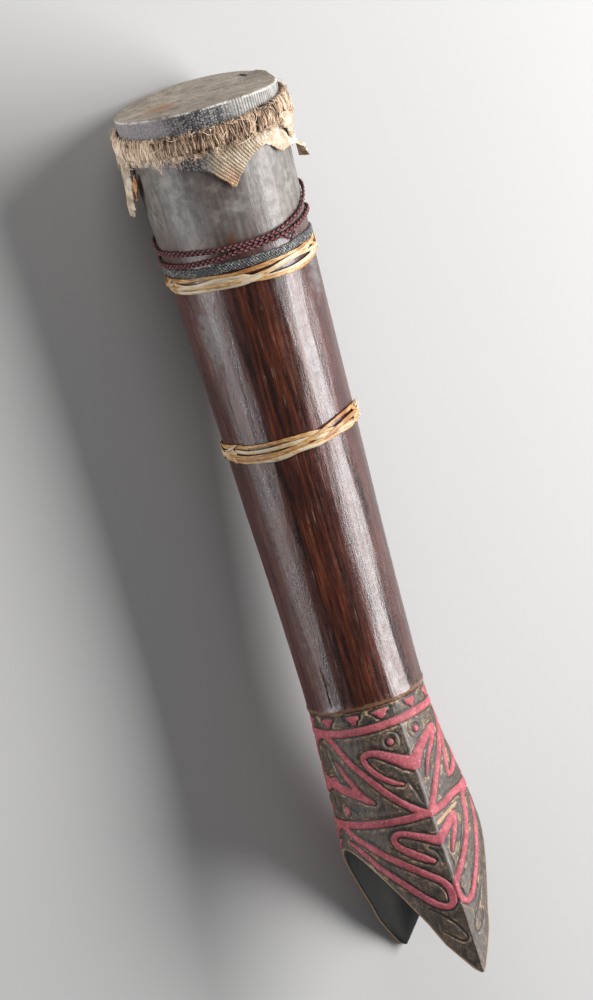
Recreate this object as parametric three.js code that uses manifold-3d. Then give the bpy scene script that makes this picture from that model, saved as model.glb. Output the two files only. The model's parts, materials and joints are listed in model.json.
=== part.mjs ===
// A kundu hand drum: a hollow hourglass-like tube carved from one log, whose foot
// opens into two pointed jaws, with a skin head, a fibre ring and four tied bands.
// Millimetres. The drum is built about its own axis and then laid down on its back.

import * as THREE from 'three';
import { mergeVertices } from 'three/addons/utils/BufferGeometryUtils.js';
import Module from 'manifold-3d';

const wasm = await Module();
wasm.setup();

// Driving sizes, with distances along the axis measured from the playing face

const length = 831;          // playing face to the tips of the jaws
const rimRadius = 73.8;      // outside of the wood at the playing end
const waistRadius = 54;      // outside of the wood at the narrowest place
const waistAt = 554;
const taperPower = 1.2;      // above 1 bows the barrel inward toward the waist
const wall = 9;              // thickness of the barrel
const jawWall = 7;           // thickness of the jaws
const lipAt = 574;           // top edge of the carved foot
const ringOneAt = 594;       // the two raised rings of the carving
const ringTwoAt = 681;
const ringWidth = 6.8;
const relief = 1.4;          // height of the raised carving over its ground
const notchAt = 703.5;       // where the two jaws part at the sides
const jawReach = 100;        // axis to keel at the tips
const seamReach = 64.5;      // axis to side where the jaws have opened
const jawMid = 0.75;         // share of a jaw's length where its edges bend inward
const jawMidWidth = 43;      // width of a jaw there
const tipWidth = 9;
const footLean = 4.5;        // how far the foot stands to the right of the barrel
const tipBack = 0.6;         // share of that lean that the tips have lost again
const keelTurn = 6;          // degrees that the keel drifts round at its top
const skin = 1.2;            // thickness of the drumhead
const skirtEnd = 50;         // lower edge of the skin on the barrel
const ringFrom = 10;         // fibre ring that binds the skin
const ringTo = 33;
const ringThick = 8.2;
const restFlat = 1.6;        // how far the fibre ring is pressed flat where it lies
const tipFlat = 1.5;         // how far the lower tip is worn flat where it lies
const cordRadius = 2.2;      // red braided cord
const cordFirst = 17.5;      // its two turns and its knot, back from the grey band
const cordSecond = 11;
const cordKnot = 15.5;
const greyWidth = 7.5;       // flat grey band
const greyThick = 1.8;
const greyAt = 145;
const upperCaneAt = 158;
const upperCaneWidth = 13.5;
const middleCaneAt = 322.5;
const middleCaneWidth = 15;
const caneThick = 3.2;
const gap = 0.3;             // clearance between touching pieces
const columns = 32;          // sides of everything round

const rad = THREE.MathUtils.degToRad;
const jawLength = length - ringTwoAt;
const panelLength = ringTwoAt - ringOneAt;

// Shape of the log

const ease = (t) => THREE.MathUtils.smoothstep(t, 0, 1);
const share = (a, from, to) => Math.min(Math.max((a - from) / (to - from), 0), 1);

const barrelRadius = (a) => waistRadius
  + (rimRadius - waistRadius) * Math.max(1 - a / waistAt, 0) ** taperPower;

const keelRadius = (a) => barrelRadius(a) + (jawReach - waistRadius) * share(a, lipAt, length);

const sideRadius = (a) => barrelRadius(a)
  + (seamReach - waistRadius) * ease(share(a, lipAt, notchAt + jawWall * 6));

// The section is two arcs that meet in a keel at top and bottom, and a circle
// where keel and side are equally far out.
function sectionRadius(a, angle, inset = 0) {
  const keel = keelRadius(a) - inset;
  const side = sideRadius(a) - inset;
  const arc = (keel * keel + side * side) / (2 * side);
  const shift = (arc - side) * Math.abs(Math.sin(angle));
  return Math.sqrt(shift * shift + arc * arc - (arc - side) ** 2) - shift;
}

const drift = (a) => rad(keelTurn) * (1 - share(a, ringOneAt, ringTwoAt));

const lean = (a) => footLean
  * (ease(share(a, ringOneAt, notchAt)) - tipBack * share(a, notchAt + jawWall * 4, length));

function onDrum(a, angle, radius) {
  const turned = angle + drift(a);
  return new THREE.Vector3(lean(a) + radius * Math.sin(turned), -a, radius * Math.cos(turned));
}

// Closed surfaces made of rows; a row gives [a, radius] for an angle round the drum

function rowsGeometry(rows, poles = null) {
  const points = [];
  const faces = [];
  for (const row of rows) {
    for (let c = 0; c < columns; c += 1) {
      const angle = (2 * Math.PI * c) / columns;
      const [a, radius] = row(angle);
      points.push(onDrum(a, angle, radius));
    }
  }
  const count = rows.length;
  for (let r = 0; r < (poles ? count - 1 : count); r += 1) {
    for (let c = 0; c < columns; c += 1) {
      const next = (c + 1) % columns;
      const low = ((r + 1) % count) * columns;
      faces.push(r * columns + c, low + next, r * columns + next);
      faces.push(r * columns + c, low + c, low + next);
    }
  }
  if (poles) {
    const first = points.push(new THREE.Vector3(0, -poles[0], 0)) - 1;
    const last = points.push(new THREE.Vector3(0, -poles[1], 0)) - 1;
    for (let c = 0; c < columns; c += 1) {
      const next = (c + 1) % columns;
      faces.push(first, c, next);
      faces.push(last, (count - 1) * columns + next, (count - 1) * columns + c);
    }
  }
  return indexed(points, faces);
}

function indexed(points, faces) {
  const geometry = new THREE.BufferGeometry().setFromPoints(points);
  geometry.setIndex(faces);
  return geometry;
}

function solid(geometry) {
  const bare = geometry.clone();
  bare.deleteAttribute('normal');
  bare.deleteAttribute('uv');
  const merged = mergeVertices(bare, 1e-4);
  return new wasm.Manifold(new wasm.Mesh({
    numProp: 3,
    vertProperties: new Float32Array(merged.attributes.position.array),
    triVerts: new Uint32Array(merged.index.array),
  }));
}

function geometryOf(manifold) {
  const mesh = manifold.getMesh();
  const geometry = new THREE.BufferGeometry();
  geometry.setAttribute('position', new THREE.BufferAttribute(mesh.vertProperties, 3));
  geometry.setIndex(new THREE.BufferAttribute(mesh.triVerts, 1));
  return geometry;
}

// The floor that the drum lies on touches the fibre ring and the lower tip

const ringOuter = barrelRadius(ringFrom) + gap + skin + gap + ringThick;
const ringMiddle = (ringFrom + ringTo) / 2;
const floorAtRing = ringOuter - restFlat;
const floorAtTip = jawReach - relief - tipFlat;
const floorSlope = (floorAtTip - floorAtRing) / (length - ringMiddle);

function belowFloor() {
  const depth = jawReach;
  const block = new THREE.BoxGeometry(4 * jawReach, 2 * length, depth);
  block.translate(0, 0, -depth / 2);
  block.rotateX(Math.atan(floorSlope));
  block.translate(0, -ringMiddle, -floorAtRing);
  return solid(block);
}

// Carving: ribbons that stand over the ground, one half of a jaw at a time

// Each stroke is a list of [degrees from the keel, share of its panel, half width].
const upperPanel = { from: ringOneAt, length: panelLength };
const lowerPanel = { from: ringTwoAt, length: jawLength };
const strokes = [
  { panel: upperPanel, points: [[95, 0.03, 3], [76, 0.1, 3], [61, 0.28, 3.2], [46, 0.46, 3.2],
    [31, 0.63, 3.2], [15, 0.81, 3.3], [-2, 0.96, 3.6]] },
  { panel: upperPanel, points: [[-2, 0.49, 9], [12, 0.44, 6.5], [25, 0.35, 4], [38, 0.27, 3],
    [43, 0.33, 2.6], [32, 0.46, 2.6], [14, 0.65, 2.4]] },
  { panel: upperPanel, points: [[96, 0.52, 7], [78, 0.61, 5.6], [62, 0.69, 4], [44, 0.77, 1.8]] },
  { panel: upperPanel, points: [[79, 0.32, 2], [72, 0.46, 2.6], [60, 0.67, 3]] },
  { panel: lowerPanel, points: [[80, 0.01, 3], [60, 0.106, 3.2], [41, 0.188, 3.3], [26, 0.27, 3.4],
    [13, 0.358, 3.4], [1, 0.47, 3.6], [1.5, 0.575, 3.6], [10, 0.57, 3.2], [24, 0.46, 3],
    [40, 0.335, 3], [57, 0.205, 3], [74, 0.11, 2.6]] },
  { panel: lowerPanel, points: [[-2, 0.165, 8], [13, 0.11, 4.6], [30, 0.085, 2.8], [32, 0.13, 2.6],
    [22, 0.215, 2.7], [8, 0.295, 2.3]] },
];
const dots = [
  { panel: upperPanel, degrees: 13, along: 0.19, radius: 4.2 },
  { panel: upperPanel, degrees: 73, along: 0.84, radius: 4 },
];
const triangleCount = 12;
const triangleSize = 7;

// A patch of the surface as a thick slab: its outline in millimetres round the
// drum and along it becomes two skins, one over the ground and one sunk in it.
function slab(outline, halfTurn, mirror, scaleAngle) {
  const over = [];
  const under = [];
  for (const [round, a] of outline) {
    const angle = halfTurn + mirror * (round / scaleAngle);
    const radius = sectionRadius(a, angle);
    over.push(onDrum(a, angle, radius));
    under.push(onDrum(a, angle, radius - 3 * relief));
  }
  return [over, under];
}

function stroke({ panel, points }, halfTurn, mirror) {
  const middle = panel.from + panel.length * points[0][1];
  const roundScale = sideRadius(middle);
  const path = points.map(([degrees, along]) => new THREE.Vector2(
    rad(degrees) * roundScale,
    panel.from + along * panel.length,
  ));
  const outline = path.map((point, i) => {
    const before = path[Math.max(i - 1, 0)];
    const after = path[Math.min(i + 1, path.length - 1)];
    const across = after.clone().sub(before).normalize().rotateAround(new THREE.Vector2(), Math.PI / 2);
    const half = across.multiplyScalar(points[i][2]);
    return [point.clone().add(half), point.clone().sub(half)];
  });
  const corners = [];
  for (const pair of outline) {
    const [over, under] = slab(pair.map((p) => [p.x, p.y]), halfTurn, mirror, roundScale);
    corners.push(over[0], over[1], under[1], under[0]);
  }
  const faces = [];
  for (let i = 0; i < path.length - 1; i += 1) {
    for (let k = 0; k < 4; k += 1) {
      const a = i * 4 + k;
      const b = i * 4 + ((k + 1) % 4);
      faces.push([a, b + 4, b], [a, a + 4, b + 4]);
    }
  }
  const end = (path.length - 1) * 4;
  faces.push([0, 1, 2], [0, 2, 3], [end, end + 2, end + 1], [end, end + 3, end + 2]);
  return facing(corners, faces, mirror);
}

function facing(corners, faces, mirror) {
  const ordered = faces.map((face) => (mirror > 0 ? face : [face[0], face[2], face[1]]));
  return solid(indexed(corners, ordered.flat()));
}

function plug(outline, halfTurn, mirror, roundScale) {
  const [over, under] = slab(outline, halfTurn, mirror, roundScale);
  const n = outline.length;
  const faces = [];
  for (let i = 1; i < n - 1; i += 1) {
    faces.push([0, i + 1, i], [n, n + i, n + i + 1]);
  }
  for (let i = 0; i < n; i += 1) {
    const next = (i + 1) % n;
    faces.push([i, next, n + next], [i, n + next, n + i]);
  }
  return facing([...over, ...under], faces, mirror);
}

function dot({ panel, degrees, along, radius }, halfTurn, mirror) {
  const sides = 6;
  const a = panel.from + along * panel.length;
  const roundScale = sideRadius(a);
  const outline = [];
  for (let i = 0; i < sides; i += 1) {
    const turn = (2 * Math.PI * i) / sides;
    outline.push([rad(degrees) * roundScale + radius * Math.cos(turn), a + radius * Math.sin(turn)]);
  }
  return plug(outline, halfTurn, mirror, roundScale);
}

function borderTriangle(index) {
  const middle = rad((360 * (index + 0.5)) / triangleCount);
  const roundScale = waistRadius;
  const top = lipAt + relief * 3;
  const round = middle * roundScale;
  const outline = [[round - triangleSize, top], [round + triangleSize, top], [round, top + triangleSize]];
  return plug(outline, 0, 1, roundScale);
}

function carving() {
  const pieces = [];
  for (const halfTurn of [0, Math.PI]) {
    for (const mirror of [1, -1]) {
      strokes.forEach((item) => pieces.push(stroke(item, halfTurn, mirror)));
      dots.forEach((item) => pieces.push(dot(item, halfTurn, mirror)));
    }
  }
  for (let i = 0; i < triangleCount; i += 1) {
    pieces.push(borderTriangle(i));
  }
  return pieces;
}

// Drum body

// The ground between the carving is cut in; the lip and the two rings stand.
function bodyRows() {
  const rows = [];
  const woodTop = skin + gap;
  for (const part of [0, 0.15, 0.3, 0.45, 0.6, 0.75, 0.9, 1]) {
    const a = woodTop + (lipAt - relief - woodTop) * part;
    rows.push((angle) => [a, sectionRadius(a, angle)]);
  }
  const sunk = [[lipAt, 0], [lipAt + relief * 1.5, relief]];
  for (const ring of [ringOneAt, ringTwoAt]) {
    const half = ringWidth / 2;
    sunk.push([ring - half - relief / 2, relief], [ring - half, 0], [ring + half, 0]);
    sunk.push([ring + half + relief / 2, relief]);
    sunk.push([ring + panelLength / 2, relief]);
  }
  sunk.push([ringTwoAt + jawLength * 0.65, relief], [length, relief]);
  for (const [a, depth] of sunk) {
    rows.push((angle) => [a, sectionRadius(a, angle) - depth]);
  }
  return rows;
}

function bore() {
  const past = 5;
  const rows = [-past, waistAt, lipAt, ringTwoAt, notchAt, notchAt + jawWall * 6, length + past];
  const inset = (a) => wall + (jawWall - wall) * share(a, lipAt, notchAt);
  return solid(rowsGeometry(
    rows.map((a) => (angle) => [a, sectionRadius(a, angle, inset(a))]),
    [-past, length + past],
  ));
}

// The outline of both jaws seen from the side that shows a keel
function jawOutline() {
  const far = 2 * jawReach;
  const round = tipWidth * 0.35;
  const edge = [
    [notchAt, sideRadius(notchAt) + relief],
    [notchAt + (length - notchAt) * jawMid, jawMidWidth / 2],
    [length - round, tipWidth / 2],
    [length, tipWidth / 2 - round],
  ];
  const shape = new THREE.Shape();
  shape.moveTo(-far, far);
  shape.lineTo(-far, -notchAt);
  edge.forEach(([a, half]) => shape.lineTo(lean(a) - half, -a));
  edge.reverse().forEach(([a, half]) => shape.lineTo(lean(a) + half, -a));
  shape.lineTo(far, -notchAt);
  shape.lineTo(far, far);
  const block = new THREE.ExtrudeGeometry(shape, { depth: 4 * jawReach, bevelEnabled: false });
  block.translate(0, 0, -2 * jawReach);
  return solid(block);
}

function drumBody() {
  let wood = solid(rowsGeometry(bodyRows(), [skin + gap, length]));
  for (const piece of carving()) {
    wood = wood.add(piece);
  }
  return geometryOf(wood.subtract(bore()).intersect(jawOutline()).subtract(belowFloor()));
}

// Drumhead: a disc of skin with its skirt turned down over the rim

const flaps = [
  { degrees: -16, width: 26, drop: 27, stand: 1 },    // striped tongue in front
  { degrees: -117, width: 15, drop: 38, stand: 7 },   // strip that hangs off at the left
  { degrees: 63, width: 13, drop: 33, stand: 6 },     // curled strip at the right
  { degrees: 190, width: 30, drop: 12, stand: 1 },
  { degrees: 145, width: 20, drop: 9, stand: 1 },
];

function flapShare(flap, angle) {
  let turn = THREE.MathUtils.radToDeg(angle) - flap.degrees + 720;
  turn = ((turn + 180) % 360) - 180;
  return Math.max(1 - Math.abs(turn) / flap.width, 0);
}

const skirtDrop = (angle) => skirtEnd + Math.max(...flaps.map((f) => f.drop * flapShare(f, angle)));
const skirtStand = (angle) => Math.max(...flaps.map((f) => f.stand * flapShare(f, angle)));

function drumhead() {
  const round = skin * 0.8;
  const inner = (a) => barrelRadius(a) + gap;
  const down = [0.4, 1];
  const rows = [
    () => [0, inner(0) + skin - round],
    () => [round, inner(0) + skin],
    () => [skirtEnd * 0.6, inner(skirtEnd * 0.6) + skin],
  ];
  const skirt = (part, thick) => (angle) => {
    const a = skirtEnd * 0.75 + (skirtDrop(angle) - skirtEnd * 0.75) * part;
    return [a, inner(a) + thick + skirtStand(angle) * part * part];
  };
  down.forEach((part) => rows.push(skirt(part, skin)));
  down.reverse().forEach((part) => rows.push(skirt(part, 0)));
  rows.push(() => [skirtEnd * 0.6, inner(skirtEnd * 0.6)]);
  rows.push(() => [skin, inner(0)]);
  return geometryOf(solid(rowsGeometry(rows, [0, skin])));
}

// Bands and ring

// A section is a list of [along, out], carried round the drum; the path gives its
// middle for an angle.
function around(section, path) {
  const rows = section.map(([along, out]) => (angle) => {
    const { a, from, swell = 1 } = path(angle);
    return [a + along * swell, from + out * swell];
  });
  return solid(rowsGeometry(rows));
}

function ovalSection(width, thick, sides) {
  const points = [];
  for (let i = 0; i < sides; i += 1) {
    const turn = (2 * Math.PI * (i + 0.5)) / sides;
    points.push([(width / 2) * Math.cos(turn), (thick / 2) * (1 - Math.sin(turn))]);
  }
  return points;
}

function flatSection(width, thick) {
  const edge = thick / 3;
  return [[-width / 2, 0], [edge - width / 2, thick], [width / 2 - edge, thick], [width / 2, 0]];
}

function fibreRing() {
  const from = barrelRadius(ringFrom) + gap + skin + gap;
  const section = ovalSection(ringTo - ringFrom, ringThick, 6);
  const lumps = (angle) => 1 + 0.035 * Math.sin(7 * angle) * Math.sin(3 * angle + 1);
  const ring = around(section, (angle) => ({ a: ringMiddle, from, swell: lumps(angle) }));
  return geometryOf(ring.subtract(belowFloor()));
}

function redCord() {
  const section = ovalSection(2 * cordRadius, 2 * cordRadius, 5);
  const turn = (angle, degrees) => {
    const away = angle - rad(degrees);
    return Math.atan2(Math.sin(away), Math.cos(away));
  };
  const path = (middle) => (angle) => {
    const a = middle(angle);
    return { a, from: barrelRadius(a - cordRadius) + gap };
  };
  const rise = 4.8 * cordRadius;
  const riseWidth = 0.5;
  const lean = 1.45 * cordRadius;
  const firstTurn = path((angle) => greyAt - cordFirst
    - rise * Math.exp(-((turn(angle, 68) / riseWidth) ** 2)));
  const secondTurn = path((angle) => greyAt - cordSecond + lean * Math.cos(turn(angle, -127)));
  const knotAngle = rad(20);
  const knotAt = greyAt - cordKnot;
  const knotRadius = cordRadius * 1.6;
  const knot = new THREE.IcosahedronGeometry(knotRadius, 0);
  const out = barrelRadius(knotAt) + gap + knotRadius;
  knot.translate(...onDrum(knotAt, knotAngle, out).toArray());
  return geometryOf(around(section, firstTurn).add(around(section, secondTurn)).add(solid(knot)));
}

function greyBand() {
  const section = flatSection(greyWidth, greyThick);
  return geometryOf(around(section, () => ({
    a: greyAt,
    from: barrelRadius(greyAt - greyWidth / 2) + gap,
  })));
}

// Two flat strands of cane cross over each other all the way round
function caneBand(middle, width, crossings) {
  const strandWidth = width * 0.62;
  const sway = (width - strandWidth) / 2;
  const section = flatSection(strandWidth, caneThick * 0.8);
  const strand = (side) => (angle) => ({
    a: middle + side * sway * Math.cos(crossings * angle),
    from: barrelRadius(middle - width / 2) + gap + caneThick * 0.1 * (1 + side * Math.sin(crossings * angle)),
  });
  return geometryOf(around(section, strand(1)).add(around(section, strand(-1))));
}

// Pieces in their places

const finish = {
  wood: { color: 0x4a2c22, roughness: 0.45 },
  hide: { color: 0x9c9080, roughness: 0.85 },
  fibre: { color: 0xb89768, roughness: 0.95 },
  red: { color: 0x5c2a2c, roughness: 0.8 },
  grey: { color: 0x474846, roughness: 0.9 },
  cane: { color: 0xc79a5a, roughness: 0.6 },
};

const pieces = [
  ['drum_body', drumBody(), finish.wood],
  ['drumhead', drumhead(), finish.hide],
  ['fibre_ring', fibreRing(), finish.fibre],
  ['red_cord', redCord(), finish.red],
  ['grey_band', greyBand(), finish.grey],
  ['upper_cane_band', caneBand(upperCaneAt, upperCaneWidth, 4), finish.cane],
  ['middle_cane_band', caneBand(middleCaneAt, middleCaneWidth, 3), finish.cane],
];

const drum = new THREE.Group();
for (const [name, geometry, look] of pieces) {
  const mesh = new THREE.Mesh(geometry, new THREE.MeshStandardMaterial({ ...look, metalness: 0 }));
  mesh.name = name;
  drum.add(mesh);
}

// Laid on its back: the floor line is made level and the box sits on the origin
drum.rotation.x = -Math.atan(floorSlope);
const laid = new THREE.Group();
laid.add(drum);
laid.updateMatrixWorld(true);
const box = new THREE.Box3().setFromObject(laid, true);
const middle = box.getCenter(new THREE.Vector3());
drum.position.set(-middle.x, -middle.y, -box.min.z);
laid.updateMatrixWorld(true);

export default laid;
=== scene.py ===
"""A kundu hand drum, lying on its back on a pale floor, seen from above."""
import json
import math

import bmesh
import bpy
import numpy as np
from mathutils import Matrix


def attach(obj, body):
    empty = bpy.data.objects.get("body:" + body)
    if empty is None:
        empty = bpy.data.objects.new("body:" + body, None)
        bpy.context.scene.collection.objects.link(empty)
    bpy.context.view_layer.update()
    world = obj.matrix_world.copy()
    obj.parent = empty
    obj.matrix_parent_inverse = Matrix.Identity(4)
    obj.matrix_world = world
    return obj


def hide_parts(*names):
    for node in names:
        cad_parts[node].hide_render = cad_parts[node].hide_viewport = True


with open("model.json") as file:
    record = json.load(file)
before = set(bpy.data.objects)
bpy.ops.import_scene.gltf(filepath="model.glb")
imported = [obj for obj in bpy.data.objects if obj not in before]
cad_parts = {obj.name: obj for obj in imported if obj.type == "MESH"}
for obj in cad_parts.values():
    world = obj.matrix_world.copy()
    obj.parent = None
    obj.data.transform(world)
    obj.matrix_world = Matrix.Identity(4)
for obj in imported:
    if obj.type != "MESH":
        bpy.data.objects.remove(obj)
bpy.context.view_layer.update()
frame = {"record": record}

# Where the drum lies
# The drum is worked out in millimetres about its own axis, measured from the middle
# of the playing face, and place() lays it where the solid lies.

MM = 0.001
face = next(m for m in frame["record"]["mounts"] if m["name"] == "playing_face")
head_centre = np.array(face["pos_m"])
toward_head = np.array(face["axis"]) / np.linalg.norm(face["axis"])
across = np.array([1.0, 0.0, 0.0])
toward_keel = np.cross(across, toward_head)


def place(points):
    """Points (right of the axis, along it, over it) in millimetres become metres in the frame."""
    x, a, z = np.moveaxis(np.asarray(points, float)[..., None], -2, 0)
    return head_centre + MM * (x * across - a * toward_head + z * toward_keel)


# Camera
# It looks down on the lying drum as the photograph looks at it, from over the upper
# jaw and a little from the head, with a long lens and the drum leaning in the picture.

view_turn = math.radians(18.5)    # keel of the upper jaw to the right of the line of sight
view_rise = math.radians(13)      # line of sight tipped toward the head
view_lean = math.radians(16)      # axis of the drum out of the upright in the picture
view_distance = 23.0
picture_height = 0.9
sensor = 36.0
aim_side = -11.6
aim_along = 374.4

back = math.cos(view_rise) * (math.cos(view_turn) * toward_keel - math.sin(view_turn) * across)
back = back + math.sin(view_rise) * toward_head
side_view = math.cos(view_turn) * across + math.sin(view_turn) * toward_keel
down_view = -(toward_head - toward_head.dot(back) * back) / math.cos(view_rise)
right = math.cos(view_lean) * side_view + math.sin(view_lean) * down_view
up = math.sin(view_lean) * side_view - math.cos(view_lean) * down_view
aim = head_centre + MM * (aim_side * side_view + aim_along * down_view)


def facing(position, x_axis, y_axis, z_axis):
    """The matrix of a camera or lamp at POSITION whose axes are the three given ones."""
    columns = np.column_stack([x_axis, y_axis, z_axis, position])
    return Matrix(np.vstack([columns, [0, 0, 0, 1]]).tolist())


camera_data = bpy.data.cameras.new("camera")
camera_data.lens = sensor * view_distance / picture_height
camera_data.sensor_width = sensor
camera_data.clip_end = 200
camera = bpy.data.objects.new("camera", camera_data)
camera.matrix_world = facing(aim + view_distance * back, right, up, back)
bpy.context.scene.collection.objects.link(camera)
bpy.context.scene.camera = camera

# Light
# Two large soft boxes lie along the drum, the strong one on the right, and a dim
# studio all round; their reflections are the long streaks on the rubbed wood.


def softbox(name, degrees, tip, distance, size, power):
    """A soft box DEGREES round the drum from the line of sight, tipped toward the head."""
    turn = math.radians(degrees)
    rise = math.radians(tip)
    level = math.cos(turn) * np.cross(side_view, toward_head) + math.sin(turn) * side_view
    away = math.cos(rise) * level + math.sin(rise) * toward_head
    lamp = bpy.data.lights.new(name, "AREA")
    lamp.shape = "RECTANGLE"
    lamp.size, lamp.size_y = size
    lamp.energy = power
    box = bpy.data.objects.new(name, lamp)
    long_side = toward_head - toward_head.dot(away) * away
    long_side = long_side / np.linalg.norm(long_side)
    middle = head_centre - 0.4 * toward_head
    box.matrix_world = facing(middle + distance * away, np.cross(long_side, away), long_side, away)
    box.visible_camera = False
    bpy.context.scene.collection.objects.link(box)


softbox("key_box", 73, 4, 2.4, (1.1, 2.8), 140)
softbox("fill_box", -74, 8, 2.6, (0.9, 2.4), 76)
softbox("top_box", 10, 58, 3.0, (1.4, 1.4), 24)

world = bpy.data.worlds.new("studio")
world.use_nodes = True
world.node_tree.nodes["Background"].inputs["Color"].default_value = (0.82, 0.84, 0.88, 1)
world.node_tree.nodes["Background"].inputs["Strength"].default_value = 0.13
bpy.context.scene.world = world
bpy.context.scene.view_settings.view_transform = "Standard"

# Floor
# A plain pale studio floor.


def srgb(red, green, blue):
    """A colour given as 0 to 255 in the picture, as linear values for a shader."""
    parts = np.array([red, green, blue]) / 255
    linear = np.where(parts <= 0.04045, parts / 12.92, ((parts + 0.055) / 1.055) ** 2.4)
    return (*[float(v) for v in linear], 1.0)


def add(tree, kind, inputs=None, **settings):
    """A shader node with its settings, and its inputs linked or set by name or number."""
    made = tree.nodes.new(kind)
    for key, value in settings.items():
        setattr(made, key, value)
    for key, value in (inputs or {}).items():
        if isinstance(value, bpy.types.NodeSocket):
            tree.links.new(value, made.inputs[key])
        else:
            made.inputs[key].default_value = value
    return made


def new_material(name):
    """An empty node material with its Principled shader and its tree."""
    material = bpy.data.materials.new(name)
    material.use_nodes = True
    return material, material.node_tree, material.node_tree.nodes["Principled BSDF"]


def floor_material():
    """Matt pale grey paper."""
    material, _, shader = new_material("studio_floor")
    shader.inputs["Base Color"].default_value = srgb(186, 185, 184)
    shader.inputs["Roughness"].default_value = 0.8
    return material


half_floor = 14.0
floor_mesh = bpy.data.meshes.new("floor")
floor_corners = [(-1, -1), (1, -1), (1, 1), (-1, 1)]
floor_mesh.from_pydata([(half_floor * x, half_floor * y, 0) for x, y in floor_corners], [],
                       [(0, 1, 2, 3)])
floor_mesh.materials.append(floor_material())
floor = bpy.data.objects.new("floor", floor_mesh)
bpy.context.scene.collection.objects.link(floor)

# Drum body
# One piece of hardwood, burnt and scraped hollow, adzed in long facets and rubbed
# dark. Its foot is carved in raised ribbons, painted pink, and opens in two jaws.

length = 831.0
rim_radius = 73.8
waist_radius = 54.0
waist_at = 554.0
taper_power = 1.2
wall = 9.0
jaw_wall = 7.0
jaw_edge_wall = 3.6
lip_at = 574.0
ring_one_at = 594.0
ring_two_at = 681.0
ring_width = 6.6
relief = 1.4
out_of_reach = 40.0
notch_at = 703.5
jaw_reach = 100.0
seam_reach = 64.5
jaw_mid = 0.75
jaw_mid_width = 43.0
tip_width = 9.0
foot_lean = 4.5
tip_back = 0.6
keel_turn = 6.0
wood_top = 1.5
seed = 7


def share(a, start, end):
    """The share of the way from START to END, held between 0 and 1."""
    return np.clip((a - start) / (end - start), 0, 1)


def ease(t):
    """A smooth step: three t squared less two t cubed."""
    return t * t * (3 - 2 * t)


def bell(x, middle, width):
    """1 at MIDDLE, falling off either side as e to the minus square of the widths."""
    return np.exp(-((x - middle) / width) ** 2)


def barrel_radius(a):
    """The log narrows from the rim to the waist by a power of the way that is left."""
    return waist_radius + (rim_radius - waist_radius) * np.maximum(1 - a / waist_at, 0) ** taper_power


def side_radius(a):
    """The barrel's radius, with the swell of the foot to the seams between the jaws."""
    swell = ease(share(a, lip_at, notch_at + 6 * jaw_wall))
    return barrel_radius(a) + (seam_reach - waist_radius) * swell


def section_radius(a, angle, inset=0.0, soften=0.0):
    """Two arcs that meet in a keel at top and bottom; a circle where the foot begins."""
    keel = barrel_radius(a) + (jaw_reach - waist_radius) * share(a, lip_at, length) - inset
    side = side_radius(a) - inset
    arc = (keel * keel + side * side) / (2 * side)
    shift = (arc - side) * np.sqrt(np.sin(angle) ** 2 + soften)
    return np.sqrt(shift * shift + arc * arc - (arc - side) ** 2) - shift


def drift(a):
    """How far the keel has turned from its line at the tips."""
    return math.radians(keel_turn) * (1 - share(a, ring_one_at, ring_two_at))


def lean(a):
    """How far the middle of the foot stands to the right of the barrel's axis."""
    back_again = tip_back * share(a, notch_at + jaw_wall * 4, length)
    return foot_lean * (ease(share(a, ring_one_at, notch_at)) - back_again)


def on_drum(a, angle, radius):
    """A point at ANGLE from the drifting keel, AT a along the axis and RADIUS from it."""
    a, angle, radius = np.broadcast_arrays(a, angle, radius)
    turned = angle + drift(a)
    return np.stack([lean(a) + radius * np.sin(turned), a, radius * np.cos(turned)], axis=-1)


def seen(angle, a):
    """Degrees round the drum from the line of sight, between -180 and 180."""
    turned = angle + drift(a) + view_turn
    return np.degrees(np.angle(np.exp(1j * turned)))


def view_angle(degrees):
    """Degrees round the drum from the line of sight, as an angle from the drifting keel."""
    return np.radians(degrees) - view_turn - math.radians(keel_turn)


def wander(table, degrees, blur=4.0):
    """A closed line round the drum through a table of (view degrees, value), its corners rounded off."""
    even = np.arange(1440) / 4
    known = np.array(table, float)
    waves = np.fft.rfft(np.interp(even, known[:, 0] % 360, known[:, 1], period=360))
    waves = waves * np.exp(-0.5 * (np.arange(721) * math.radians(blur)) ** 2)
    return np.interp(np.asarray(degrees) % 360, even, np.fft.irfft(waves, 1440), period=360)


rim_slant = [(-180, 0), (-120, 0), (-80, -1), (-45, -4), (-10, -5), (20, -4), (45, -1), (70, 2.5),
             (95, 3.5), (140, 1)]


def slanted(points, a, view):
    """The log's end isn't cut square: its rim is higher in front, lower at the right."""
    points[..., 1] += wander(rim_slant, view, 8) * (1 - share(a, 10, 70))
    return points


tip_round = tip_width * 0.35
edge_at = np.array([notch_at, notch_at + (length - notch_at) * jaw_mid, length - tip_round, length])
edge_half = np.array([side_radius(notch_at) + relief, jaw_mid_width / 2, tip_width / 2,
                      tip_width / 2 - tip_round])


def jaw_half_width(a, sign):
    """From the foot's middle to a jaw's edge, seen along the keel: a bent, nearly straight taper."""
    bulge = 1.5 * np.sin(math.pi * share(a, 780, length + 4))
    return sign * (np.interp(a, edge_at, lean(edge_at) + sign * edge_half) - lean(a)) + bulge


def edge_angle(a, turn_sign, side):
    """The turned angle of a jaw's edge, by halving: there its point is that far from the middle."""
    low = np.zeros_like(a)
    high = np.full_like(a, math.pi / 2)
    wanted = jaw_half_width(a, side)
    for _ in range(40):
        middle = (low + high) / 2
        reach = section_radius(a, turn_sign * middle - drift(a)) * np.sin(middle)
        low = np.where(reach < wanted, middle, low)
        high = np.where(reach < wanted, high, middle)
    return np.where(a <= notch_at, math.pi / 2, (low + high) / 2)


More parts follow.
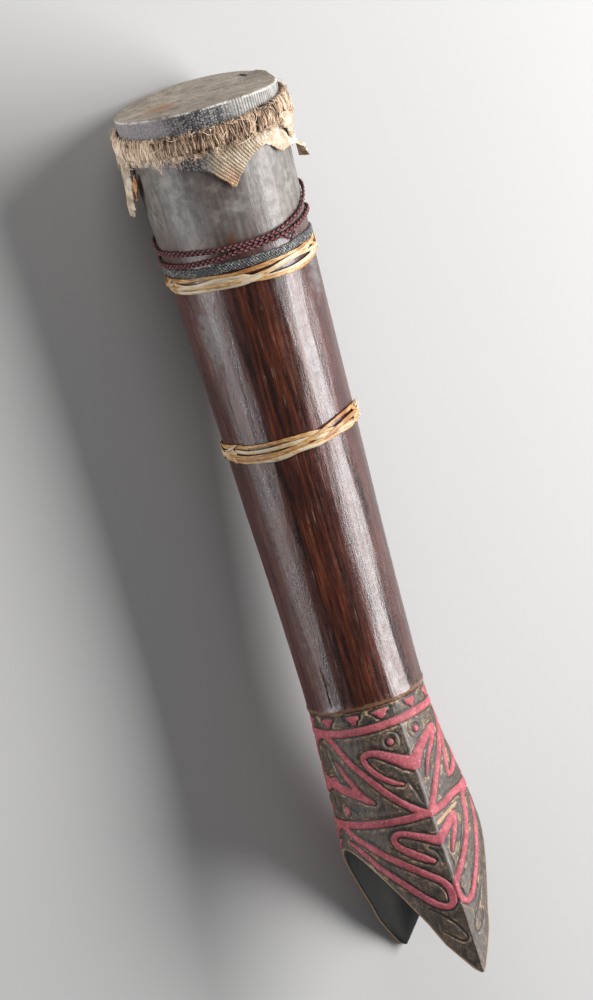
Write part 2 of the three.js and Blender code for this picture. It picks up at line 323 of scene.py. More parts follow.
coarse = 3
half_columns = 50 * coarse
barrel_rows = np.linspace(wood_top, 540, 46)[:-1]
foot_rows = np.linspace(540, notch_at, 126)[:-1]
jaw_rows = np.linspace(notch_at, length, 98)
outer_rows = np.concatenate([barrel_rows, foot_rows, jaw_rows])
inner_rows = np.concatenate([np.linspace(wood_top, notch_at, 16)[:-1], jaw_rows])


def half_angles(rows, half_turn, columns):
    """Angles from the drifting keel of the columns of one jaw, from its one edge to its other."""
    spread = np.linspace(-1, 1, columns + 1)
    side = 1 if half_turn == 0 else -1
    ahead = edge_angle(rows, 1, side)[:, None]
    behind = edge_angle(rows, -1, -side)[:, None]
    turned = np.where(spread >= 0, spread * ahead, spread * behind)
    return turned - drift(rows[:, None]) + half_turn


def adzed(a, turned, wide, long, depth, seed_number):
    """Flats of about WIDE by LONG round the log; each is lowest in its middle, as F1 squared."""
    count = round(2 * math.pi * 60 / wide)
    random = np.random.default_rng(seed_number)
    jitter = random.uniform(0.1, 0.9, (32, count, 2))
    u = (turned / (2 * math.pi)) % 1 * count
    v = a / long + 0 * u
    nearest = np.full(u.shape, 1e9)
    for step_u in (-1, 0, 1):
        for step_v in (-1, 0, 1):
            cell_u = np.floor(u) + step_u
            cell_v = np.floor(v) + step_v
            point = jitter[cell_v.astype(int) % 32, cell_u.astype(int) % count]
            away = (u - cell_u - point[..., 0]) ** 2 + (0.55 * (v - cell_v - point[..., 1])) ** 2
            nearest = np.minimum(nearest, away)
    return depth * (nearest - 0.12) / 0.3


# Carving
# The ribbons are left standing between grooves cut along both their sides. The jaw
# in sight is drawn half by half, and the far one repeats its left half.
# A stroke is a list of [degrees from the keel, share of its panel, half width].

upper_panel = (ring_one_at, ring_two_at)
lower_panel = (ring_two_at, length)
left_ribbons = [
    (upper_panel, [(-97, 0.0, 3), (-84, 0.026, 3), (-74, 0.09, 3), (-64.3, 0.22, 3), (-56, 0.336, 3),
                   (-46, 0.46, 3), (-36.7, 0.583, 3), (-28, 0.705, 2.9), (-19.9, 0.81, 2.8),
                   (-12, 0.905, 2.9), (-3, 1.0, 3)]),
    (upper_panel, [(1, 0.47, 6.4), (-5.5, 0.44, 6), (-11, 0.397, 5), (-20.2, 0.328, 3.9),
                   (-30.2, 0.267, 2.9), (-37, 0.26, 2.7), (-42, 0.293, 2.6), (-40, 0.376, 2.6),
                   (-34.4, 0.468, 2.6), (-27.1, 0.549, 2.3), (-19.9, 0.609, 1.9), (-13.5, 0.647, 1.1)]),
    (upper_panel, [(-98, 0.52, 4.2), (-89, 0.55, 4.2), (-76.5, 0.589, 4.2), (-64.1, 0.644, 4.1),
                   (-53.7, 0.69, 3.8), (-47, 0.739, 3), (-40.7, 0.779, 1.2)]),
    (upper_panel, [(-76, 0.31, 0.6), (-69, 0.397, 1.9), (-64.7, 0.48, 2.4), (-59.2, 0.563, 2.8),
                   (-53.2, 0.664, 3)]),
    (lower_panel, [(-92, 0.0, 2.6), (-83.4, 0.02, 2.7), (-73.8, 0.062, 2.7), (-65.2, 0.098, 2.9),
                   (-53.2, 0.148, 3), (-43, 0.198, 3), (-32.4, 0.253, 3), (-22.8, 0.308, 2.9),
                   (-14, 0.365, 2.8), (-7.4, 0.412, 2.8), (-4.2, 0.46, 3), (-3.4, 0.502, 3.3),
                   (-4.2, 0.553, 3.1), (-7.4, 0.572, 2.7), (-12.2, 0.555, 2.7), (-18.2, 0.51, 2.7),
                   (-25.2, 0.45, 2.7), (-32.8, 0.388, 2.7), (-41, 0.328, 2.7), (-50.2, 0.267, 2.5),
                   (-60.4, 0.197, 2.3), (-70.8, 0.145, 2), (-79.4, 0.113, 1.2)]),
    (lower_panel, [(-1, 0.175, 4.4), (-6.8, 0.15, 3.4), (-14.6, 0.117, 2.9), (-22.8, 0.087, 2.6),
                   (-28.6, 0.085, 2.6), (-32, 0.108, 2.6), (-30.8, 0.145, 2.7), (-26.2, 0.183, 2.9),
                   (-18.4, 0.23, 3.3), (-12.6, 0.265, 3), (-8.4, 0.288, 1.9)]),
    (upper_panel, [(-74, 0.82, 2.6), (-72.4, 0.855, 3.1)]),
]
right_ribbons = [
    (upper_panel, [(97, 0.0, 3), (80, 0.06, 3), (68, 0.16, 3), (56, 0.26, 3), (45.6, 0.345, 3),
                   (36.2, 0.44, 3), (27.6, 0.54, 2.9), (19.7, 0.644, 2.9), (13.1, 0.747, 3),
                   (7.7, 0.856, 3.1), (2.4, 0.96, 3.2)]),
    (upper_panel, [(-1, 0.47, 6.4), (5.3, 0.411, 5.2), (11.9, 0.345, 4.4), (20.3, 0.287, 3.8),
                   (31, 0.23, 3.2), (37.5, 0.222, 2.5), (34.5, 0.287, 2.6), (26, 0.365, 2.4),
                   (18.6, 0.443, 2.2), (12.2, 0.537, 1.8), (7.6, 0.638, 1)]),
    (upper_panel, [(98, 0.5, 6.5), (84, 0.56, 5.4), (68, 0.625, 4.4), (52, 0.69, 3.6), (40, 0.735, 2.6),
                   (31, 0.757, 1)]),
    (upper_panel, [(66, 0.27, 0.6), (56, 0.35, 1.6), (47, 0.43, 2.3), (41.2, 0.529, 2.6),
                   (35.7, 0.64, 2.6), (32, 0.725, 2)]),
    (lower_panel, [(92, 0.0, 2.6), (76, -0.01, 2.7), (60, -0.02, 2.8), (44, 0.0, 2.9), (37.5, 0.04, 3),
                   (34.4, 0.107, 3), (28.2, 0.178, 2.9), (22.2, 0.24, 2.8), (14.6, 0.312, 2.9),
                   (9.2, 0.363, 3), (3.6, 0.415, 3.1), (0.8, 0.45, 3), (0.9, 0.523, 3), (3, 0.562, 3.1),
                   (6.6, 0.573, 3.1), (10.6, 0.55, 2.8), (15, 0.502, 2.6), (20.8, 0.435, 2.6),
                   (26.4, 0.373, 2.7), (32, 0.31, 2.8), (38, 0.247, 2.8), (45, 0.182, 2.6),
                   (51, 0.12, 2.2), (57, 0.06, 1.2)]),
    (lower_panel, [(-1, 0.175, 4.4), (3.4, 0.148, 4.3), (9.2, 0.115, 4), (14.8, 0.085, 3.5),
                   (19.6, 0.072, 2.9), (18, 0.115, 2.6), (13.2, 0.172, 2.6), (9.6, 0.215, 2.2),
                   (6.4, 0.262, 1.1)]),
    (upper_panel, [(74, 0.82, 2.6), (72.4, 0.855, 3.1)]),
]
left_cuts = [
    (lower_panel, [(-20, 0.558, 0.1), (-12.8, 0.608, 0.5), (-7, 0.668, 0.6), (-4, 0.715, 0.6),
                   (-1.8, 0.765, 0.5), (-2.4, 0.79, 0.5), (-5, 0.792, 0.5), (-9.4, 0.755, 0.4),
                   (-13.6, 0.718, 0.1)]),
    (upper_panel, [(-9, 0.62, 0.1), (-6.5, 0.7, 0.6), (-4, 0.8, 0.6), (-3, 0.88, 0.1)]),
    (lower_panel, [(-9, 0.2, 0.1), (-5, 0.23, 0.5), (-3.6, 0.27, 0.6), (-3.4, 0.31, 0.1)]),
    (upper_panel, [(-84, 0.16, 0.1), (-78, 0.33, 0.4), (-70, 0.5, 0.6), (-62, 0.6, 0.1)]),
    (upper_panel, [(-68, 0.78, 0.1), (-66, 0.83, 0.5), (-62, 0.87, 0.5), (-57, 0.9, 0.1)]),
]
right_cuts = [
    (lower_panel, [(26, 0.48, 0.1), (20, 0.55, 0.4), (12, 0.64, 0.5), (5.4, 0.71, 0.5),
                   (4.6, 0.765, 0.5), (8, 0.765, 0.5), (12.8, 0.71, 0.4), (15, 0.66, 0.1)]),
    (upper_panel, [(16, 0.36, 0.1), (10.5, 0.47, 0.6), (5.5, 0.58, 0.6), (3.5, 0.68, 0.1)]),
    (upper_panel, [(22, 0.42, 0.1), (16.5, 0.52, 0.5), (11.5, 0.64, 0.5), (7, 0.76, 0.1)]),
    (lower_panel, [(29, 0.09, 0.1), (23, 0.16, 0.5), (15.5, 0.25, 0.5), (9.5, 0.31, 0.1)]),
    (lower_panel, [(3, 0.24, 0.1), (3.4, 0.3, 0.5), (3, 0.36, 0.1)]),
]
eye_radius = 3.0
eye_groove = 5.2
eyes = [(-14.3, 0.19), (13.7, 0.155)]
triangles = [(-74, 8.8), (-43.5, 7.6), (-16, 9.0), (18.5, 8.8), (51, 8.0), (80, 7.5)]
border_triangles = triangles + [(110, 7.5), (139, 7.5), (168, 8), (196, 7.5), (225, 8), (254, 7.5)]
triangle_depth = 8.4
cracks = [(-61, 540, 569), (-58.6, 548, 571), (-101, 430, 447)]
bare_places = [(upper_panel, [(-21.7, 0.905, 0.9), (-20.5, 0.915, 0.5)]),
               (lower_panel, [(2.2, 0.078, 1.9), (9.6, 0.057, 2.1), (21.2, 0.03, 2.0), (27, 0.02, 1.3)])]


def smooth_stroke(panel, points, steps=5):
    """A Catmull-Rom curve through a stroke's points, laid on the wood, with its half widths."""
    table = np.array([(math.radians(d), panel[0] + s * (panel[1] - panel[0]), w) for d, s, w in points])
    ends = np.vstack([2 * table[0] - table[1], table, 2 * table[-1] - table[-2]])
    t = np.linspace(0, 1, steps, endpoint=False)[:, None]
    pieces = []
    for p0, p1, p2, p3 in zip(ends[:-3], ends[1:-2], ends[2:-1], ends[3:]):
        pieces.append(0.5 * (2 * p1 + (p2 - p0) * t + (2 * p0 - 5 * p1 + 4 * p2 - p3) * t ** 2
                             + (3 * p1 - p0 - 3 * p2 + p3) * t ** 3))
    return np.vstack(pieces + [table[-1:]])


def stroke_distance(points, line, half_turn, mirror, found):
    """Distance in millimetres from POINTS to a stroke's side, less than zero inside it."""
    angle = half_turn + mirror * line[:, 0]
    track = on_drum(line[:, 1], angle, section_radius(line[:, 1], angle))
    widths = line[:, 2]
    low = track.min(axis=0) - 14
    high = track.max(axis=0) + 14
    near = np.all((points > low) & (points < high), axis=1)
    spots, best = points[near], found[near]
    for start, end, wide, next_wide in zip(track[:-1], track[1:], widths[:-1], widths[1:]):
        span = end - start
        t = np.clip((spots - start) @ span / max(span @ span, 1e-9), 0, 1)
        gap = np.linalg.norm(spots - start - t[:, None] * span, axis=1)
        best = np.minimum(best, gap - (wide + (next_wide - wide) * t))
    found[near] = best
    return found


def ring_line(a, angle, ring):
    """A ring's middle; the second one climbs a little on the right."""
    turned = np.degrees(np.angle(np.exp(1j * (angle + drift(a)))))
    climb = -5.5 * ease(share(turned, 2, 32)) * (1 - ease(share(turned, 100, 150)))
    wobble = 0.6 * np.sin(np.radians(turned) * 3 + ring)
    return ring + wobble + (climb if ring == ring_two_at else 0)


def round_from(degrees, angle):
    """The way round the waist from DEGREES to ANGLE, in millimetres."""
    return np.angle(np.exp(1j * (angle - math.radians(degrees)))) * waist_radius


def border_distance(a, angle):
    """Distance to the row of painted triangles under the lip, their corners rounded."""
    top = lip_at + 6.0
    nearest = np.full(a.shape, out_of_reach)
    for degrees, half in border_triangles:
        aside = np.abs(round_from(degrees, angle))
        slope = math.hypot(half, triangle_depth)
        flank = (aside * triangle_depth + (a - top) * half - half * triangle_depth) / slope
        flank = flank + 0.5 * np.sin(a * 1.3 + degrees)
        rounded = (flank + top - a + np.hypot(flank - top + a, 2.4)) / 2
        nearest = np.minimum(nearest, rounded - 0.5)
    return nearest


def crack_distance(a, angle):
    """Distance to the cracks that run along the barrel."""
    nearest = np.full(a.shape, out_of_reach)
    for degrees, start, end in cracks:
        aside = round_from(degrees, angle) + 0.5 * np.sin(a / 4)
        beyond = np.maximum(np.maximum(start - a, a - end), 0)
        nearest = np.minimum(nearest, np.hypot(aside, beyond) - 0.15)
    return nearest


def carving_fields(points, a, angle):
    """Distances to the painted ribbons, to the cuts that bear no paint, and to bare places."""
    ribbon = np.full(len(points), out_of_reach)
    cut = np.full(len(points), out_of_reach)
    bare = np.full(len(points), out_of_reach)
    foot = a > lip_at - 30
    spots = points[foot]
    found = {"ribbon": ribbon[foot], "cut": cut[foot], "bare": bare[foot]}
    sides = [(0.0, 1, left_ribbons, left_cuts), (0.0, 1, right_ribbons, right_cuts),
             (math.pi, 1, left_ribbons, left_cuts), (math.pi, -1, left_ribbons, left_cuts)]
    for half_turn, mirror, ribbons, cuts in sides:
        for panel, stroke in ribbons:
            found["ribbon"] = stroke_distance(spots, smooth_stroke(panel, stroke), half_turn, mirror,
                                              found["ribbon"])
        for panel, stroke in cuts:
            found["cut"] = stroke_distance(spots, smooth_stroke(panel, stroke), half_turn, mirror,
                                           found["cut"])
    for panel, stroke in bare_places:
        found["bare"] = stroke_distance(spots, smooth_stroke(panel, stroke), 0.0, 1, found["bare"])
    for half_turn in (0.0, math.pi):
        for degrees, along in eyes:
            eye_a = ring_one_at + along * (ring_two_at - ring_one_at)
            eye_angle = half_turn + math.radians(degrees)
            eye = on_drum(eye_a, eye_angle, section_radius(eye_a, eye_angle))
            gap = np.linalg.norm(spots - eye, axis=1)
            found["ribbon"] = np.minimum(found["ribbon"], gap - eye_radius)
            found["cut"] = np.minimum(found["cut"], np.abs(gap - eye_groove) + 0.3)
            found["cut"] = np.minimum(found["cut"], np.abs(gap - 1.9 * eye_groove) - 0.1)
    ribbon[foot], cut[foot], bare[foot] = found["ribbon"], found["cut"], found["bare"]
    for ring in (ring_one_at, ring_two_at):
        ribbon = np.minimum(ribbon, np.abs(a - ring_line(a, angle, ring)) - ring_width / 2)
    ribbon = np.minimum(ribbon, border_distance(a, angle))
    ribbon = ribbon + 0.3 * np.sin(a * 0.83 + angle * 29) * np.sin(a * 0.41 - angle * 47)
    return ribbon, np.minimum(cut, crack_distance(a, angle)), bare


def keel_gap(a, angle):
    """Millimetres round the wood to the nearer keel."""
    return np.abs(np.angle(np.exp(2j * angle))) / 2 * barrel_radius(a)


def carved_height(a, ribbon, cut, angle):
    """Height over the ground: flat ribbons, a groove beside them, then a low pillow of field."""
    groove = bell(ribbon, 1.0, 0.8)
    field = 1.05 * ease(share(ribbon, 1.4, 3.2)) - 0.4 * ease(share(ribbon, 4, 9))
    top = relief + 0.15 * ease(share(-ribbon, 0, 2))
    edge = ease(share(ribbon, -0.5, 0.6))
    height = (1 - edge) * top + edge * field - 0.45 * groove
    height = height - 0.85 * bell(np.maximum(cut, 0), 0, 0.9)
    height = height + 0.3 * adzed(a, angle * 2.3, 9, 9, 1.0, seed + 2) * edge
    arris = np.exp(-keel_gap(a, angle) / 2.2) * share(a, ring_one_at, ring_one_at + 6)
    height = height + 1.1 * arris * edge
    foot = ease(share(a, lip_at - 0.5, lip_at + 2.5))
    ragged = 0.5 * np.sin(angle * 9) + 0.4 * np.sin(angle * 23 + 1)
    lip = 0.8 * bell(a, lip_at - 1.5 + ragged, 2.2)
    crack = -1.2 * bell(np.maximum(cut, 0), 0, 0.5)
    return foot * (height - relief) + (1 - foot) * crack + lip


def grid_faces(numbers, wrap=False):
    """Quads of a grid of point numbers."""
    if wrap:
        numbers = np.hstack([numbers, numbers[:, :1]])
    corners = [numbers[:-1, :-1], numbers[:-1, 1:], numbers[1:, 1:], numbers[1:, :-1]]
    return np.stack([c.ravel() for c in corners], axis=1)


def numbered(rows, columns, start=0):
    """The numbers of a grid's points, row by row."""
    return start + np.arange(rows * columns).reshape(rows, columns)


def strip_faces(one, other, many=1):
    """Faces between two rows of point numbers; the second has MANY points for each step of the first."""
    faces = []
    for i in range(len(one) - 1):
        faces.append([one[i], one[i + 1], *other[many * i:many * (i + 1) + 1][::-1]])
    return faces


def build(name, points, faces, material, slot, nodes=(), merge=0.0, fields=None, recalc=True):
    """A piece from points in drum millimetres: merged, turned outward, ridden and named."""
    mesh = bpy.data.meshes.new(name)
    mesh.from_pydata(place(points).tolist(), [], [list(f) for f in faces])
    for key, values in (fields or {}).items():
        layer = mesh.attributes.new(key, "FLOAT", "POINT")
        layer.data.foreach_set("value", np.asarray(values, np.float32))
    if merge or recalc:
        sheet = bmesh.new()
        sheet.from_mesh(mesh)
        if merge:
            bmesh.ops.remove_doubles(sheet, verts=sheet.verts, dist=merge * MM)
        if recalc:
            bmesh.ops.recalc_face_normals(sheet, faces=sheet.faces)
        sheet.to_mesh(mesh)
        sheet.free()
    mesh.shade_smooth()
    mesh.materials.append(material)
    piece = bpy.data.objects.new(name, mesh)
    bpy.context.scene.collection.objects.link(piece)
    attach(piece, "root")
    if nodes:
        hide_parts(*nodes)
    return piece


def edge_distance(points, a):
    """Millimetres from points on a jaw to its edge, seen along the keel."""
    half = np.where(points[..., 0] > lean(a), jaw_half_width(a, 1), jaw_half_width(a, -1))
    return np.where(a > notch_at - 6, half - np.abs(points[..., 0] - lean(a)), out_of_reach)


def weathering(a, view):
    """Where the wood is deep red, down the middle in view and partly painted shade; where it is stained
    like rust; and where chalky dust lies, partly painted sheen.
    """
    # The deep red band down the middle in view, where no soft box is reflected: the wood's red, partly
    # painted shade.
    deep_red_and_shade = bell(view, 2 + 6 * np.sin(a / 90), 23) * (0.45 + 0.55 * share(a, 140, 175))
    rust = 0.85 * bell(view, -3, 4.5) * bell(a, 122, 9)
    rust = rust + 0.8 * bell(view, -28, 3) * bell(a, 205, 14)
    # Grey patches at the left side and the right edge: partly chalky dust, partly painted sheen where the
    # soft boxes shine.
    chalk_and_sheen = bell(view, -42, 15) * bell(a, 208, 30) + 0.8 * bell(view, 66, 14) * bell(a, 178, 34)
    chalk_and_sheen = chalk_and_sheen + 0.35 * bell(view, -40, 14) * share(a, 330, 380)
    return deep_red_and_shade, rust, chalk_and_sheen


def outer_wood(half_turn):
    """The carved outside of one half of the log, and the fields that its material reads."""
    angle = half_angles(outer_rows, half_turn, half_columns)
    a = np.broadcast_to(outer_rows[:, None], angle.shape)
    base = on_drum(a, angle, section_radius(a, angle)).reshape(-1, 3)
    ribbon, cut, bare = carving_fields(base, a.ravel(), angle.ravel())
    height = carved_height(a.ravel(), ribbon, cut, angle.ravel()).reshape(a.shape)
    turned = angle + drift(a)
    flats = adzed(a, turned, 21, 95, 0.42, seed) + adzed(a, turned, 11, 38, 0.08, seed + 1)
    flats = flats * (1 - 0.85 * ease(share(a, lip_at - 12, lip_at)))
    view = seen(angle, a)
    points = slanted(on_drum(a, angle, section_radius(a, angle) + height + flats), a, view)
    pale_lip = bell(view, -33, 14) * bell(a, lip_at + 2.2, 1.2)
    edge = edge_distance(points, a) + 3 * share(notch_at - a, 0, 9)
    keel = keel_gap(a, angle) + 3 * share(a, 760, 790)
    deep_red_and_shade, rust, chalk_and_sheen = weathering(a, view)
    return points, {"ribbon": ribbon, "cut": cut, "bare": np.minimum(bare, 1.5 - 3 * pale_lip.ravel()),
                    "edge": np.maximum(edge, 0), "inside": np.zeros(a.shape), "deep_red_and_shade": deep_red_and_shade,
                    "rust": rust, "keel": np.where(a > ring_one_at + 3, keel, out_of_reach),
                    "chalk_and_sheen": chalk_and_sheen}


def inner_wood(half_turn):
    """The gouged hollow of the same half, its wall thin toward the jaw's edges, and its fields."""
    angle = half_angles(inner_rows, half_turn, half_columns // coarse)
    a = np.broadcast_to(inner_rows[:, None], angle.shape)
    near_edge = np.abs(np.linspace(-1, 1, angle.shape[1])) ** 3
    near_edge = near_edge * share(a, notch_at - 20, notch_at + 30)
    inset = wall + (jaw_wall - wall) * share(a, lip_at, notch_at)
    inset = inset + (jaw_edge_wall - inset) * near_edge
    gouged = adzed(a, angle + drift(a), 16, 30, 0.4, seed + 3)
    hollow = section_radius(a, angle, inset, 0.008) + gouged * (1 - near_edge)
    points = slanted(on_drum(a, angle, hollow), a, seen(angle, a))
    far = np.full(a.shape, out_of_reach)
    none = np.zeros(a.shape)
    return points, {"ribbon": far, "cut": far, "bare": far, "keel": far, "inside": none + 1,
                    "edge": np.maximum(edge_distance(points, a), 0), "deep_red_and_shade": none, "rust": none,
                    "chalk_and_sheen": none}


def body_surface():
    """Outer and inner grids of both jaws, joined at the rim, the jaws' edges and the tips."""
    points, faces, fields, start = [], [], [], 0
    jaw = len(jaw_rows)
    for half_turn in (0.0, math.pi):
        outer, outer_fields = outer_wood(half_turn)
        inner, inner_fields = inner_wood(half_turn)
        points += [outer.reshape(-1, 3), inner.reshape(-1, 3)]
        fields += [outer_fields, inner_fields]
        out = numbered(*outer.shape[:2], start)
        inn = numbered(*inner.shape[:2], start + out.size)
        start = start + out.size + inn.size
        faces += grid_faces(out).tolist() + grid_faces(inn)[:, ::-1].tolist()
        faces += strip_faces(inn[0], out[0], coarse) + strip_faces(inn[-1], out[-1], coarse)
        faces += strip_faces(inn[-jaw:, 0], out[-jaw:, 0]) + strip_faces(out[-jaw:, -1], inn[-jaw:, -1])
    joined_fields = {key: np.concatenate([part[key].ravel() for part in fields]) for key in fields[0]}
    return np.vstack(points), faces, joined_fields


def flatten_on_floor(points):
    """What would reach below the floor is pressed or worn flat at the floor's height."""
    depth = place(points)[:, 2] / MM
    points[:, 2] += np.maximum(0.02 - depth, 0)
    return points


def ramp(tree, value, low, high):
    """A value eased from 0 at LOW to 1 at HIGH; HIGH may be the smaller one."""
    return add(tree, "ShaderNodeMapRange", {"Value": value, "From Min": low, "From Max": high},
               interpolation_type="SMOOTHSTEP").outputs["Result"]


def mix(tree, factor, one, other):
    """One colour over another by FACTOR."""
    return add(tree, "ShaderNodeMix", {"Factor": factor, 6: one, 7: other}, data_type="RGBA").outputs[2]


def math_node(tree, operation, one, other=0.0, third=0.0):
    """One step of arithmetic in a shader tree."""
    return add(tree, "ShaderNodeMath", {0: one, 1: other, 2: third}, operation=operation).outputs[0]


def times(tree, one, other):
    """ONE times OTHER."""
    return math_node(tree, "MULTIPLY", one, other)


def raised(tree, base, value, factor):
    """BASE plus VALUE times FACTOR."""
    return math_node(tree, "MULTIPLY_ADD", value, factor, base)


def swayed(tree, base, value, factor):
    """BASE plus FACTOR times what VALUE lies over one half."""
    return raised(tree, base, math_node(tree, "SUBTRACT", value, 0.5), factor)


def tinted(tree, base, colour, value, low, high, strength=1.0):
    """BASE that goes over to COLOUR, by STRENGTH at most, as VALUE runs from LOW to HIGH."""
    return mix(tree, times(tree, ramp(tree, value, low, high), strength), base, colour)


def noise(tree, where, scale, detail=4.0, roughness=0.5):
    """Cloudy noise, about one half in the mean."""
    return add(tree, "ShaderNodeTexNoise", {"Vector": where, "Scale": scale, "Detail": detail,
                                            "Roughness": roughness}).outputs["Fac"]


def cells(tree, where, scale, randomness):
    """Distance to the nearest of many scattered points, 0 at each point."""
    return add(tree, "ShaderNodeTexVoronoi", {"Vector": where, "Scale": scale, "Randomness": randomness},
               feature="F1").outputs["Distance"]


def drawn_out(tree, where, scale):
    """A place with its axes scaled; a small scale draws a pattern out that way."""
    return add(tree, "ShaderNodeMapping", {"Vector": where, "Scale": scale}).outputs[0]


def opposite(tree, value):
    """One less VALUE."""
    return math_node(tree, "SUBTRACT", 1.0, value)


def attribute(tree, name):
    """A value that the mesh carries at each of its points."""
    return add(tree, "ShaderNodeAttribute", attribute_name=name).outputs["Fac"]


def grain_group():
    """Wood grain: long streaks and short pores along the log, as a mask, a tone and a height."""
    group = bpy.data.node_groups.new("long_grain", "ShaderNodeTree")
    group.interface.new_socket("Fineness", in_out="INPUT", socket_type="NodeSocketFloat")
    for name in ("Streaks", "Patches", "Height"):
        group.interface.new_socket(name, in_out="OUTPUT", socket_type="NodeSocketFloat")
    enter = group.nodes.new("NodeGroupInput")
    leave = group.nodes.new("NodeGroupOutput")
    where = add(group, "ShaderNodeTexCoord").outputs["Object"]
    long = drawn_out(group, where, (1, 0.055, 1))
    patchy = drawn_out(group, where, (1, 0.22, 1))
    streaks = noise(group, long, enter.outputs["Fineness"], 7.0, 0.62)
    pores = noise(group, patchy, 900.0, 3.0)
    patches = noise(group, patchy, 34.0, 6.0, 0.6)
    height = raised(group, times(group, streaks, 0.65), pores, 0.35)
    group.links.new(streaks, leave.inputs["Streaks"])
    group.links.new(patches, leave.inputs["Patches"])
    group.links.new(height, leave.inputs["Height"])
    return group


long_grain = grain_group()


def along_drum(tree, where):
    """Millimetres along the drum from the playing face, near enough, from a place in the frame."""
    y = add(tree, "ShaderNodeSeparateXYZ", {0: where}).outputs["Y"]
    return raised(tree, float(head_centre[1]) / MM, y, -1 / MM)


def barrel_colour(tree, where, along, streaks, patches, medium, blotch):
    """Grey-brown sides, a deep red middle partly painted shade, chalk partly painted sheen, scratches and
    rust; and where dust lies.
    """
    brown = mix(tree, ramp(tree, streaks, 0.3, 0.72), srgb(30, 13, 11), srgb(88, 42, 35))
    brown = tinted(tree, brown, srgb(92, 56, 51), patches, 0.46, 0.62, 0.5)
    deep = mix(tree, ramp(tree, streaks, 0.35, 0.7), srgb(30, 10, 5), srgb(92, 38, 15))
    deep = tinted(tree, deep, srgb(132, 72, 36), streaks, 0.54, 0.7, 0.42)
    # Deep red down the middle in view: the wood's red, partly painted shade.
    deep_red_and_shade = swayed(tree, attribute(tree, "deep_red_and_shade"), patches, 0.9)
    plain = mix(tree, ramp(tree, deep_red_and_shade, 0.25, 0.8), brown, deep)
    # Chalk grey: partly chalky dust, partly painted sheen.
    chalk_and_sheen = raised(tree, attribute(tree, "chalk_and_sheen"), medium, 1.6)
    plain = tinted(tree, plain, srgb(118, 116, 116), chalk_and_sheen, 1.1, 1.7, 0.65)
    along_grain = drawn_out(tree, where, (1, 0.03, 1))
    scratch = ramp(tree, noise(tree, along_grain, 640.0, 3.0, 0.5), 0.62, 0.69)
    scratch = times(tree, scratch, ramp(tree, blotch, 0.42, 0.6))
    plain = mix(tree, times(tree, scratch, 0.5), plain, srgb(146, 124, 114))
    dust_end = raised(tree, along, noise(tree, where, 22.0), -34.0)
    dusty = ramp(tree, dust_end, 132, 84)
    dusty = times(tree, dusty, raised(tree, 0.65, ramp(tree, patches, 0.35, 0.6), 0.3))
    dust_and_painted_light = mix(tree, ramp(tree, streaks, 0.3, 0.7), srgb(104, 99, 94), srgb(132, 127, 121))
    # The dust is darker down the middle in view: painted shade.
    dust_and_painted_light = mix(tree, times(tree, attribute(tree, "deep_red_and_shade"), 0.9), dust_and_painted_light, srgb(66, 58, 54))
    dust_and_painted_light = tinted(tree, dust_and_painted_light, srgb(82, 78, 74), medium, 0.45, 0.62, 0.6)
    dust_and_painted_light = tinted(tree, dust_and_painted_light, srgb(158, 154, 148), blotch, 0.5, 0.64, 0.5)
    plain = mix(tree, dusty, plain, dust_and_painted_light)
    rust = raised(tree, attribute(tree, "rust"), medium, 0.8)
    return tinted(tree, plain, srgb(100, 50, 28), rust, 0.6, 1.35), dusty


def carved_colour(tree, where, ribbon, cut, medium, fine, blotch):
    """Dark ground worn to bare wood along its edges, painted shade in its grooves, pink paint on the
    ribbons; and where paint is.
    """
    ground = mix(tree, ramp(tree, medium, 0.38, 0.66), srgb(34, 26, 21), srgb(76, 60, 47))
    ground = mix(tree, times(tree, ramp(tree, fine, 0.5, 0.62), ramp(tree, blotch, 0.45, 0.6)),
                 ground, srgb(116, 92, 66))
    along_cuts = drawn_out(tree, where, (1, 0.3, 1))
    scraped = noise(tree, along_cuts, 300.0, 5.0)
    ground = tinted(tree, ground, srgb(100, 80, 60), scraped, 0.52, 0.64, 0.55)
    ground = tinted(tree, ground, srgb(24, 16, 12), scraped, 0.44, 0.34, 0.6)
    shaken = raised(tree, ribbon, fine, 1.6)
    crest = times(tree, ramp(tree, shaken, 2.2, 2.9), ramp(tree, shaken, 4.6, 3.4))
    cut_side = times(tree, ramp(tree, cut, 0.5, 1.1), ramp(tree, cut, 2.6, 1.4))
    worn = math_node(tree, "MAXIMUM", crest, cut_side)
    worn = times(tree, worn, ramp(tree, noise(tree, where, 90.0, 5.0, 0.7), 0.48, 0.62))
    ground = mix(tree, times(tree, worn, 0.85), ground, srgb(168, 136, 96))
    # The grooves beside the ribbons and the cuts are painted near black: painted shade.
    groove_shade = math_node(tree, "ABSOLUTE", math_node(tree, "SUBTRACT", ribbon, 0.95))
    groove_shade = math_node(tree, "MAXIMUM", ramp(tree, groove_shade, 0.8, 0.35), ramp(tree, cut, 0.9, 0.1))
    ground = mix(tree, groove_shade, ground, srgb(20, 11, 8))
    pink = mix(tree, ramp(tree, medium, 0.35, 0.65), srgb(174, 78, 88), srgb(142, 54, 64))
    pink = tinted(tree, pink, srgb(212, 132, 136), fine, 0.54, 0.66, 0.5)
    pink = tinted(tree, pink, srgb(156, 58, 68), ribbon, -1.0, -0.1, 0.4)
    chipped = ramp(tree, noise(tree, where, 230.0, 6.0, 0.7), 0.655, 0.7)
    painted = ramp(tree, raised(tree, ribbon, fine, 0.9), 0.6, 0.4)
    painted = times(tree, painted, opposite(tree, chipped))
    return mix(tree, painted, ground, pink), painted


